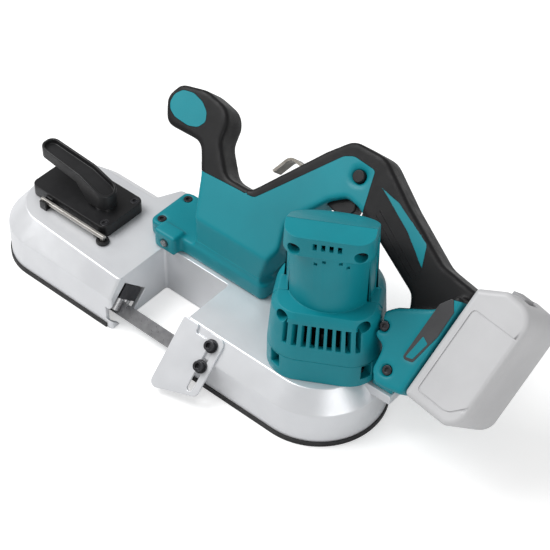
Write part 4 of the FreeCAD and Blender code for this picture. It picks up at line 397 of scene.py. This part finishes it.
# The tensioner: a black base plate on the idler arm, a cam through it, a slider and a spring below.
# The base is moulded, the cam is chromed, and the coil is wound from spring wire.
PLATE_EDGE = 0.0007
base_plate = copy_of("tension_base", "tension_plate")
break_edges(base_plate, PLATE_EDGE)
fit(base_plate, black_plastic, "frame", "black_plastic", "tension_base")
chrome = surface("chrome", (0.80, 0.80, 0.81), (0.74, 0.74, 0.75), metallic=1.0, roughness=(0.08, 0.16),
                 patch=0.01, grain=0.0008, bump=0.01)
finish_in(chrome, "lever_cam")
finish_in(bright_steel, "tension_slider")
COIL_START = (-111.0, -33.0, 43.5)
COIL_LENGTH = 24.8
COIL_TURNS = 7
COIL_RADIUS = 4.5
WIRE_RADIUS = 0.9
COIL_STEPS = 24
COIL_SOFT_ANGLE = math.radians(50.0)
QUARTER_TURN = math.radians(90.0)
bpy.ops.object.select_all(action="DESELECT")
bpy.ops.mesh.primitive_circle_add(vertices=12, radius=WIRE_RADIUS / PER_METRE, fill_type="NGON")
spring = bpy.context.object
spring.name = "spring_coil"
bpy.ops.object.mode_set(mode="EDIT")
bpy.ops.mesh.select_all(action="SELECT")
bpy.ops.transform.rotate(value=QUARTER_TURN, orient_axis="X", center_override=(0.0, 0.0, 0.0))
bpy.ops.transform.translate(value=(0.0, 0.0, COIL_RADIUS / PER_METRE))
bpy.ops.object.mode_set(mode="OBJECT")
winding = spring.modifiers.new("winding", "SCREW")
winding.axis = "X"
winding.steps = COIL_STEPS
winding.render_steps = COIL_STEPS
winding.iterations = COIL_TURNS
winding.screw_offset = COIL_LENGTH / PER_METRE / COIL_TURNS
winding.use_normal_calculate = True
bpy.ops.object.modifier_apply(modifier=winding.name)
spring.location = Vector(COIL_START) / PER_METRE
settle(spring)
bpy.ops.object.mode_set(mode="EDIT")
bpy.ops.mesh.select_all(action="SELECT")
bpy.ops.mesh.remove_doubles(threshold=MERGE_DISTANCE)
bpy.ops.mesh.normals_make_consistent(inside=False)
bpy.ops.object.mode_set(mode="OBJECT")
bpy.ops.object.shade_smooth_by_angle(angle=COIL_SOFT_ANGLE)
fit(spring, gear_steel, "frame", "steel", "tension_spring")
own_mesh(spring)

# The tension lever: a boat shaped lever moulded in dark nylon, hollow on top with a rim.
# It is pressed on the cam's stud, and its edges are rubbed by hands.
LEVER_RIM = 0.0024
LEVER_HOLLOW = 0.0045
LEVER_EDGE = 0.0009
LEVER_TOP_AREA = 0.0006
UPWARD = 0.9
lever = copy_of("tension_lever", "lever_grip")
choose_faces(lever, lambda face: face.normal.z > UPWARD and face.area > LEVER_TOP_AREA)
bpy.ops.mesh.inset(thickness=LEVER_RIM, use_even_offset=True)
bpy.ops.mesh.extrude_region_move(TRANSFORM_OT_translate={"value": (0.0, 0.0, -LEVER_HOLLOW)})
bpy.ops.object.mode_set(mode="OBJECT")
break_edges(lever, LEVER_EDGE, segments=3)
dark_nylon = surface("dark_nylon", (0.018, 0.018, 0.019), (0.013, 0.013, 0.014),
                     wear=(0.08, 0.08, 0.084), roughness=(0.32, 0.44), patch=0.02, grain=0.0005,
                     bump=0.15, sheen=0.32)
fit(lever, dark_nylon, "lever", "charcoal_plastic", "tension_lever")

# The hexagon key: a bent length of hexagon bar, clipped along the front of the base plate.
# It is bright nickel plated steel.
KEY_EDGE = 0.00025
key = copy_of("hex_key", "key_bar")
break_edges(key, KEY_EDGE)
nickel = surface("nickel", (0.62, 0.60, 0.57), (0.50, 0.48, 0.45), metallic=1.0, roughness=(0.30, 0.42),
                 patch=0.012, grain=0.0008, bump=0.015)
fit(key, nickel, "hex_key", "zinc_plate", "hex_key")


# The handle: two shells of teal nylon, screwed together along the middle of the bars.
# They carry the base block, the lamp boss and the foot, and all their edges run out softly.
# Dark rubber is moulded over the horn and the main bars, with a fine seam all round.
def grown(corners, by):
    """An outline pushed out by a distance along its own normals."""
    pushed = []
    for number, corner in enumerate(corners):
        before = (Vector(corner) - Vector(corners[number - 1])).normalized()
        after = (Vector(corners[(number + 1) % len(corners)]) - Vector(corner)).normalized()
        first = Vector((before.y, -before.x))
        second = Vector((after.y, -after.x))
        pushed.append(Vector(corner) + (first + second) * (by / (1.0 + first.dot(second))))
    return pushed


def outline_block(corners, low, high, corner_radius):
    """A block with an outline of the handle's plane, its corners rounded, from low to high."""
    mesh = bpy.data.meshes.new("outline_block")
    mesh.from_pydata([tilt(along, across, low) for along, across in corners], [], [range(len(corners))])
    cutter = bpy.data.objects.new("outline_block", mesh)
    bpy.context.scene.collection.objects.link(cutter)
    take(cutter)
    bpy.ops.object.mode_set(mode="EDIT")
    bpy.ops.mesh.select_all(action="SELECT")
    bpy.ops.mesh.bevel(offset=corner_radius / PER_METRE, segments=5, affect="VERTICES",
                       clamp_overlap=True)
    bpy.ops.mesh.select_all(action="SELECT")
    bpy.ops.mesh.extrude_region_move(TRANSFORM_OT_translate={"value": tilt(0.0, 0.0, high - low)})
    bpy.ops.mesh.select_all(action="SELECT")
    bpy.ops.mesh.normals_make_consistent(inside=False)
    bpy.ops.object.mode_set(mode="OBJECT")
    return cutter


def twin(piece, name):
    """A second piece with the same shape."""
    other = bpy.data.objects.new(name, piece.data.copy())
    bpy.context.scene.collection.objects.link(other)
    return other


HORN = ((-140.0, 93.0), (-36.8, 93.0), (4.0, 95.0), (12.3, 95.0), (12.3, 210.0), (-140.0, 210.0))
BEAN = ((-94.0, 125.5), (-86.0, 121.5), (-70.0, 120.5), (-60.5, 123.5), (-56.0, 130.5),
        (-59.5, 138.5), (-68.0, 144.5), (-80.0, 147.5), (-91.0, 145.5), (-97.0, 139.0), (-97.5, 131.0))
BARS = ((12.4, 95.0), (21.0, 96.0), (28.0, 104.1), (77.0, 162.9), (85.8, 167.0), (108.8, 165.0),
        (117.0, 128.0), (122.0, 106.1), (180.0, 74.0), (192.0, 80.1), (218.0, 93.0), (228.0, 107.1),
        (254.9, 113.9), (254.9, 210.0), (12.4, 210.0))
CRESCENT = ((120.0, 155.5), (141.0, 151.4), (170.0, 138.0), (180.0, 133.0), (186.0, 114.0),
            (160.0, 134.0), (133.0, 149.0))
HANDLE_DEPTH = (20.0, 120.0)
HANDLE_MIDDLE = 68.3
HALF_PLACE = (60.0, 60.0)
HALF_REACH = 700.0
HALF_DEPTH = 120.0
SHELL_GAP = 0.1
ZONE_CORNER = 2.5
INSET_CORNER = 2.2
LINE_CORNER = 0.1
GRIP_LINES = 6
LINE_START = (124.0, 113.0)
LINE_START_STEP = (1.0, 5.0)
LINE_END = (172.0, 86.0)
LINE_END_STEP = (2.4, 4.2)
LINE_WIDTH = 0.7
LINE_LEVEL = (82.5, 92.0)
SEAM = 0.35
SKIN = 0.0013
ROUNDING = 16
SOFTNESS = 0.5
KEPT_FACES = 0.3
parts = [copy_of(node, node + "_copy", whole=False)
         for node in ("handle_near", "handle_far", "front_grip", "main_grip")]
body = parts[0]
take(body)
for part in parts[1:]:
    part.select_set(True)
bpy.ops.object.join()
skin = body.modifiers.new("skin", "REMESH")
skin.mode = "VOXEL"
skin.voxel_size = SKIN
bpy.ops.object.modifier_apply(modifier=skin.name)
soft = body.modifiers.new("soft", "SMOOTH")
soft.factor = SOFTNESS
soft.iterations = ROUNDING
bpy.ops.object.modifier_apply(modifier=soft.name)
fewer = body.modifiers.new("fewer", "DECIMATE")
fewer.ratio = KEPT_FACES
bpy.ops.object.modifier_apply(modifier=fewer.name)
grip_rubber = surface("grip_rubber", (0.0085, 0.0083, 0.0090), (0.0055, 0.0054, 0.0060),
                      wear=(0.028, 0.028, 0.030), roughness=(0.40, 0.55), patch=0.03, grain=0.0005,
                      bump=0.22, sheen=0.24)
handle_teal = teal("handle_teal", patch=0.05)
for name, node, region, inset in (("horn_grip", "front_grip", HORN, BEAN),
                                  ("bar_grip", "main_grip", BARS, CRESCENT)):
    rubber_zone = outline_block(region, *HANDLE_DEPTH, ZONE_CORNER)
    carve(rubber_zone, outline_block(grown(inset, SEAM), *HANDLE_DEPTH, INSET_CORNER))
    grip = twin(body, name)
    carve(grip, rubber_zone, "INTERSECT")
    if node == "main_grip":
        for line in range(GRIP_LINES):
            start = Vector(LINE_START) + Vector(LINE_START_STEP) * line
            end = Vector(LINE_END) + Vector(LINE_END_STEP) * line
            side = (end - start).orthogonal().normalized() * LINE_WIDTH
            carve(grip, outline_block((start, end, end + side, start + side), *LINE_LEVEL, LINE_CORNER))
    smooth(grip)
    fit(grip, grip_rubber, "frame", "grip_rubber", node)
    cut_zone = outline_block(grown(region, SEAM), *HANDLE_DEPTH, ZONE_CORNER)
    carve(cut_zone, outline_block(inset, *HANDLE_DEPTH, INSET_CORNER))
    carve(body, cut_zone)
half = tilt(*HALF_PLACE, HANDLE_MIDDLE + HALF_DEPTH / 2) * PER_METRE
far_shell = twin(body, "handle_back")
carve(far_shell, block(half, (HALF_REACH, HALF_REACH, HALF_DEPTH - SHELL_GAP), (TILTED, 0.0, 0.0)))
smooth(far_shell)
fit(far_shell, handle_teal, "frame", "teal_plastic", "handle_far")
body.name = "handle_front"
carve(body, block(half, (HALF_REACH, HALF_REACH, HALF_DEPTH), (TILTED, 0.0, 0.0)), "INTERSECT")
smooth(body)
fit(body, handle_teal, "frame", "teal_plastic", "handle_near")

# The trigger, its switch and the lock button: black nylon, the trigger shaped for one finger.
# The switch sits behind the trigger, and the button stands in a shallow dish on the near side.
CONTROL_EDGE = 0.0009
for node, name, carrier in (("trigger", "trigger_blade", "trigger"),
                            ("lock_button", "lock_knob", "lock_button")):
    control = copy_of(node, name)
    break_edges(control, CONTROL_EDGE, segments=3)
    fit(control, black_plastic, carrier, "black_plastic", node)
finish_in(black_plastic, "trigger_switch")

# The hanging hook: a bent steel strip that swings out behind the upper bar.
# It is zinc plated, and the plating has gone dull.
hook = copy_of("hanging_hook", "hook_strip", whole=False)
smooth(hook)
hook_zinc = surface("hook_zinc", (0.24, 0.225, 0.20), (0.13, 0.12, 0.105), wear=(0.6, 0.59, 0.57),
                    metallic=1.0, roughness=(0.28, 0.42), patch=0.010, grain=0.0008, bump=0.02)
fit(hook, hook_zinc, "hook", "zinc_plate", "hanging_hook")

# The lamp: a small clear lens in the front of its boss, facing the throat.
# The lens is moulded in clear plastic, slightly smoked.
CLEARNESS = 0.75
lens_clear = surface("lens_clear", (0.30, 0.32, 0.33), (0.24, 0.26, 0.27), roughness=(0.06, 0.12),
                     bump=0.03)
lens_clear.node_tree.nodes["Principled BSDF"].inputs["Transmission Weight"].default_value = CLEARNESS
finish_in(lens_clear, "lamp_lens")

# The foot's bands: dark nylon plates let into both sides of the foot, beside the battery.
# They are moulded apart and snapped in. The near one carries a small bare teal panel, and the
# black terminal block sits in the channel between them.
FRAME_EDGE = 0.0006
band_frame = copy_of("foot_band", "foot_frame")
break_edges(band_frame, FRAME_EDGE)
charcoal = surface("charcoal", (0.042, 0.042, 0.045), (0.032, 0.032, 0.035), wear=(0.12, 0.12, 0.125),
                   roughness=(0.36, 0.48), patch=0.02, grain=0.0005, bump=0.15)
fit(band_frame, charcoal, "frame", "charcoal_plastic", "foot_band")
FOOT_PANEL = ((217.6, 50.0), (223.6, 51.2), (228.6, 67.5), (222.4, 71.0))
FOOT_PANEL_PROUD = 0.25
FOOT_PANEL_SUNK = 0.5
FOOT_PANEL_CORNER = 1.0
FOOT_PANEL_EDGE = 0.00015
rise = max(corner.co.z - corner.co.y for corner in band_frame.data.vertices)
band_face = rise * PER_METRE * DIAGONAL
inset_panel = outline_block(FOOT_PANEL, band_face - FOOT_PANEL_SUNK, band_face + FOOT_PANEL_PROUD,
                            FOOT_PANEL_CORNER)
inset_panel.name = "foot_inset"
break_edges(inset_panel, FOOT_PANEL_EDGE)
fit(inset_panel, handle_teal, "frame", "teal_plastic")
finish_in(black_plastic, "battery_terminal")


# The battery: a pale slide pack with a lined side panel and a release button at its upper end.
# The case is moulded in light grey nylon, and the button in a darker one.
PACK_CORNER = (231.0, 26.0)
PACK_LEAN = math.radians(6.5)


def pack_outline(along, out):
    """A point of the pack's side view in the handle's plane, leaning with the pack."""
    return (PACK_CORNER[0] + along * math.sin(PACK_LEAN) + out * math.cos(PACK_LEAN),
            PACK_CORNER[1] + along * math.cos(PACK_LEAN) - out * math.sin(PACK_LEAN))


PANEL = ((9.0, 9.0), (9.0, 38.0), (24.0, 52.0), (84.0, 52.0), (84.0, 9.0))
PANEL_LINE = 1.3
PANEL_LEVEL = (105.0, 112.0)
PANEL_CORNER = 4.0
OVERRUN = 2.0
PACK_EDGE = 0.0009
RELEASE_EDGE = 0.0006
pack = copy_of("battery_case", "battery_pack")
break_edges(pack, PACK_EDGE)
panel = [pack_outline(along, out) for along, out in PANEL]
groove = outline_block(grown(panel, PANEL_LINE), *PANEL_LEVEL, PANEL_CORNER)
carve(groove, outline_block(panel, PANEL_LEVEL[0] - OVERRUN, PANEL_LEVEL[1] + OVERRUN, PANEL_CORNER))
carve(pack, groove)
smooth(pack)
pale_grey = surface("pale_grey", (0.56, 0.56, 0.57), (0.50, 0.50, 0.51), wear=(0.72, 0.72, 0.73),
                    roughness=(0.4, 0.52), patch=0.05, grain=0.0005, bump=0.12)
fit(pack, pale_grey, "battery", "battery_grey", "battery_case")
release = copy_of("battery_button", "release_button")
break_edges(release, RELEASE_EDGE)
mid_grey = surface("mid_grey", (0.36, 0.36, 0.37), (0.30, 0.30, 0.31), wear=(0.5, 0.5, 0.5),
                   roughness=(0.4, 0.52), patch=0.03, grain=0.0005, bump=0.12)
fit(release, mid_grey, "battery_button", "battery_grey", "battery_button")


# The work stop: a pressed steel plate on the drive housing's bevel, held by two socket bolts.
# The plate is finished like the casting, and the bolts and their washers are blackened.
def sink_recess(piece, head_area, rim, depth):
    """Sinks a round recess into every screw head whose top has an area within limits."""
    choose_faces(piece, lambda face: head_area[0] < face.area < head_area[1])
    bpy.ops.mesh.inset(thickness=rim, use_even_offset=True, use_individual=True)
    bpy.ops.mesh.extrude_region_shrink_fatten(TRANSFORM_OT_shrink_fatten={"value": -depth})
    bpy.ops.object.mode_set(mode="OBJECT")


STOP_EDGE = 0.0005
BOLT_HEAD_AREA = (0.00006, 0.000067)
BOLT_RIM = 0.0021
BOLT_RECESS = 0.0028
BOLT_EDGE = 0.0003
stop = copy_of("stop_plate", "stop_bracket")
break_edges(stop, STOP_EDGE)
fit(stop, silver_paint, "stop_plate", "zinc_plate", "stop_plate")
bolts = copy_of("stop_bolts", "socket_bolts")
sink_recess(bolts, BOLT_HEAD_AREA, BOLT_RIM, BOLT_RECESS)
break_edges(bolts, BOLT_EDGE)
fit(bolts, blued_steel, "frame", "blackened_steel", "stop_bolts")

# The housing screws: black thread forming screws with driven recesses, sunk in their pockets.
# They hold the handle, the motor shell and the tension base.
SCREW_HEAD_AREA = (0.0000495, 0.0000507)
SCREW_RIM = 0.0020
SCREW_RECESS = 0.0016
SCREW_EDGE = 0.0003
screws = copy_of("housing_screws", "shell_screws")
sink_recess(screws, SCREW_HEAD_AREA, SCREW_RIM, SCREW_RECESS)
break_edges(screws, SCREW_EDGE)
fit(screws, blued_steel, "frame", "blackened_steel", "housing_screws")

# The floor: a plain white sheet of card that the saw stands on, a hair below its rim.
# It glows a little to the camera alone, so that it stays white and keeps the shadow.
FLOOR_SIZE = 8.0
FLOOR_DROP = 0.0005
CARD_WHITE = (0.8, 0.8, 0.8, 1.0)
CARD_ROUGHNESS = 0.9
CARD_GLOW = 0.42
bpy.ops.object.select_all(action="DESELECT")
bpy.ops.mesh.primitive_plane_add(size=FLOOR_SIZE, location=(0.0, 0.0, -FLOOR_DROP))
floor = bpy.context.object
floor.name = "floor"
card, card_nodes, card_links, card_shader = new_material("white_card")[:4]
card_shader.inputs["Base Color"].default_value = CARD_WHITE
card_shader.inputs["Roughness"].default_value = CARD_ROUGHNESS
card_path = card_nodes.new("ShaderNodeLightPath")
card_glow = card_nodes.new("ShaderNodeEmission")
card_glow.inputs["Strength"].default_value = CARD_GLOW
card_add = card_nodes.new("ShaderNodeAddShader")
card_mix = card_nodes.new("ShaderNodeMixShader")
card_out = card_nodes["Material Output"]
card_links.new(card_shader.outputs["BSDF"], card_add.inputs[0])
card_links.new(card_glow.outputs["Emission"], card_add.inputs[1])
card_links.new(card_path.outputs["Is Camera Ray"], card_mix.inputs["Fac"])
card_links.new(card_shader.outputs["BSDF"], card_mix.inputs[1])
card_links.new(card_add.outputs["Shader"], card_mix.inputs[2])
card_links.new(card_mix.outputs["Shader"], card_out.inputs["Surface"])
floor.data.materials.append(card)

# The light: a pale room, one broad soft lamp above the left shoulder, a weaker one at the right.
# The camera sees the room as pure white, also through the clear lens.
ROOM_WHITE = (1.0, 1.0, 1.0, 1.0)
ROOM_STRENGTH = 0.42
world = bpy.data.worlds.new("pale_room")
bpy.context.scene.world = world
world.use_nodes = True
room = world.node_tree
room_light = room.nodes["Background"]
room_light.inputs["Color"].default_value = ROOM_WHITE
room_light.inputs["Strength"].default_value = ROOM_STRENGTH
room_white = room.nodes.new("ShaderNodeBackground")
room_white.inputs["Color"].default_value = ROOM_WHITE
room_path = room.nodes.new("ShaderNodeLightPath")
room_seen = room.nodes.new("ShaderNodeMath")
room_seen.operation = "MAXIMUM"
room_mix = room.nodes.new("ShaderNodeMixShader")
room.links.new(room_path.outputs["Is Camera Ray"], room_seen.inputs[0])
room.links.new(room_path.outputs["Is Transmission Ray"], room_seen.inputs[1])
room.links.new(room_seen.outputs["Value"], room_mix.inputs["Fac"])
room.links.new(room_light.outputs["Background"], room_mix.inputs[1])
room.links.new(room_white.outputs["Background"], room_mix.inputs[2])
room.links.new(room_mix.outputs["Shader"], room.nodes["World Output"].inputs["Surface"])


def soft_lamp(name, place, aim, size, power):
    """A square soft lamp at place that points at aim."""
    lamp = bpy.data.lights.new(name, "AREA")
    lamp.size = size
    lamp.energy = power
    holder = bpy.data.objects.new(name, lamp)
    bpy.context.scene.collection.objects.link(holder)
    holder.location = place
    holder.rotation_euler = (Vector(aim) - Vector(place)).to_track_quat("-Z", "Y").to_euler()


soft_lamp("key_lamp", place=(-0.9, -0.5, 1.7), aim=(0.05, 0.0, 0.05), size=1.2, power=32.0)
soft_lamp("side_lamp", place=(1.6, -0.6, 0.9), aim=(0.05, 0.0, 0.08), size=1.0, power=8.0)

# The camera: the photograph's own standpoint, high over the right front corner.
# It has a long lens and is rolled by a degree and a half.
CAMERA_TURN = math.radians(39.332)
CAMERA_RISE = math.radians(44.726)
CAMERA_ROLL = math.radians(1.486)
CAMERA_DISTANCE = 1.401856
CAMERA_AIM = Vector((0.051723, 0.001875, 0.060))
SENSOR_WIDTH = 36.0
LENS_PIXELS = 1631.72
IMAGE_PIXELS = 550
back = Vector((math.sin(CAMERA_TURN) * math.cos(CAMERA_RISE),
               -math.cos(CAMERA_TURN) * math.cos(CAMERA_RISE), math.sin(CAMERA_RISE)))
right = Vector((math.cos(CAMERA_TURN), math.sin(CAMERA_TURN), 0.0))
upward = back.cross(right)
rolled_right = right * math.cos(CAMERA_ROLL) + upward * math.sin(CAMERA_ROLL)
rolled_up = upward * math.cos(CAMERA_ROLL) - right * math.sin(CAMERA_ROLL)
camera_turn = Matrix((rolled_right, rolled_up, back)).transposed().to_4x4()
lens = bpy.data.cameras.new("camera")
lens.sensor_width = SENSOR_WIDTH
lens.lens = SENSOR_WIDTH * LENS_PIXELS / IMAGE_PIXELS
lens.clip_start = 0.05
lens.clip_end = 20.0
camera = bpy.data.objects.new("camera", lens)
bpy.context.scene.collection.objects.link(camera)
camera.matrix_world = Matrix.Translation(CAMERA_AIM + back * CAMERA_DISTANCE) @ camera_turn
bpy.context.scene.camera = camera
bpy.context.scene.view_settings.view_transform = "Standard"
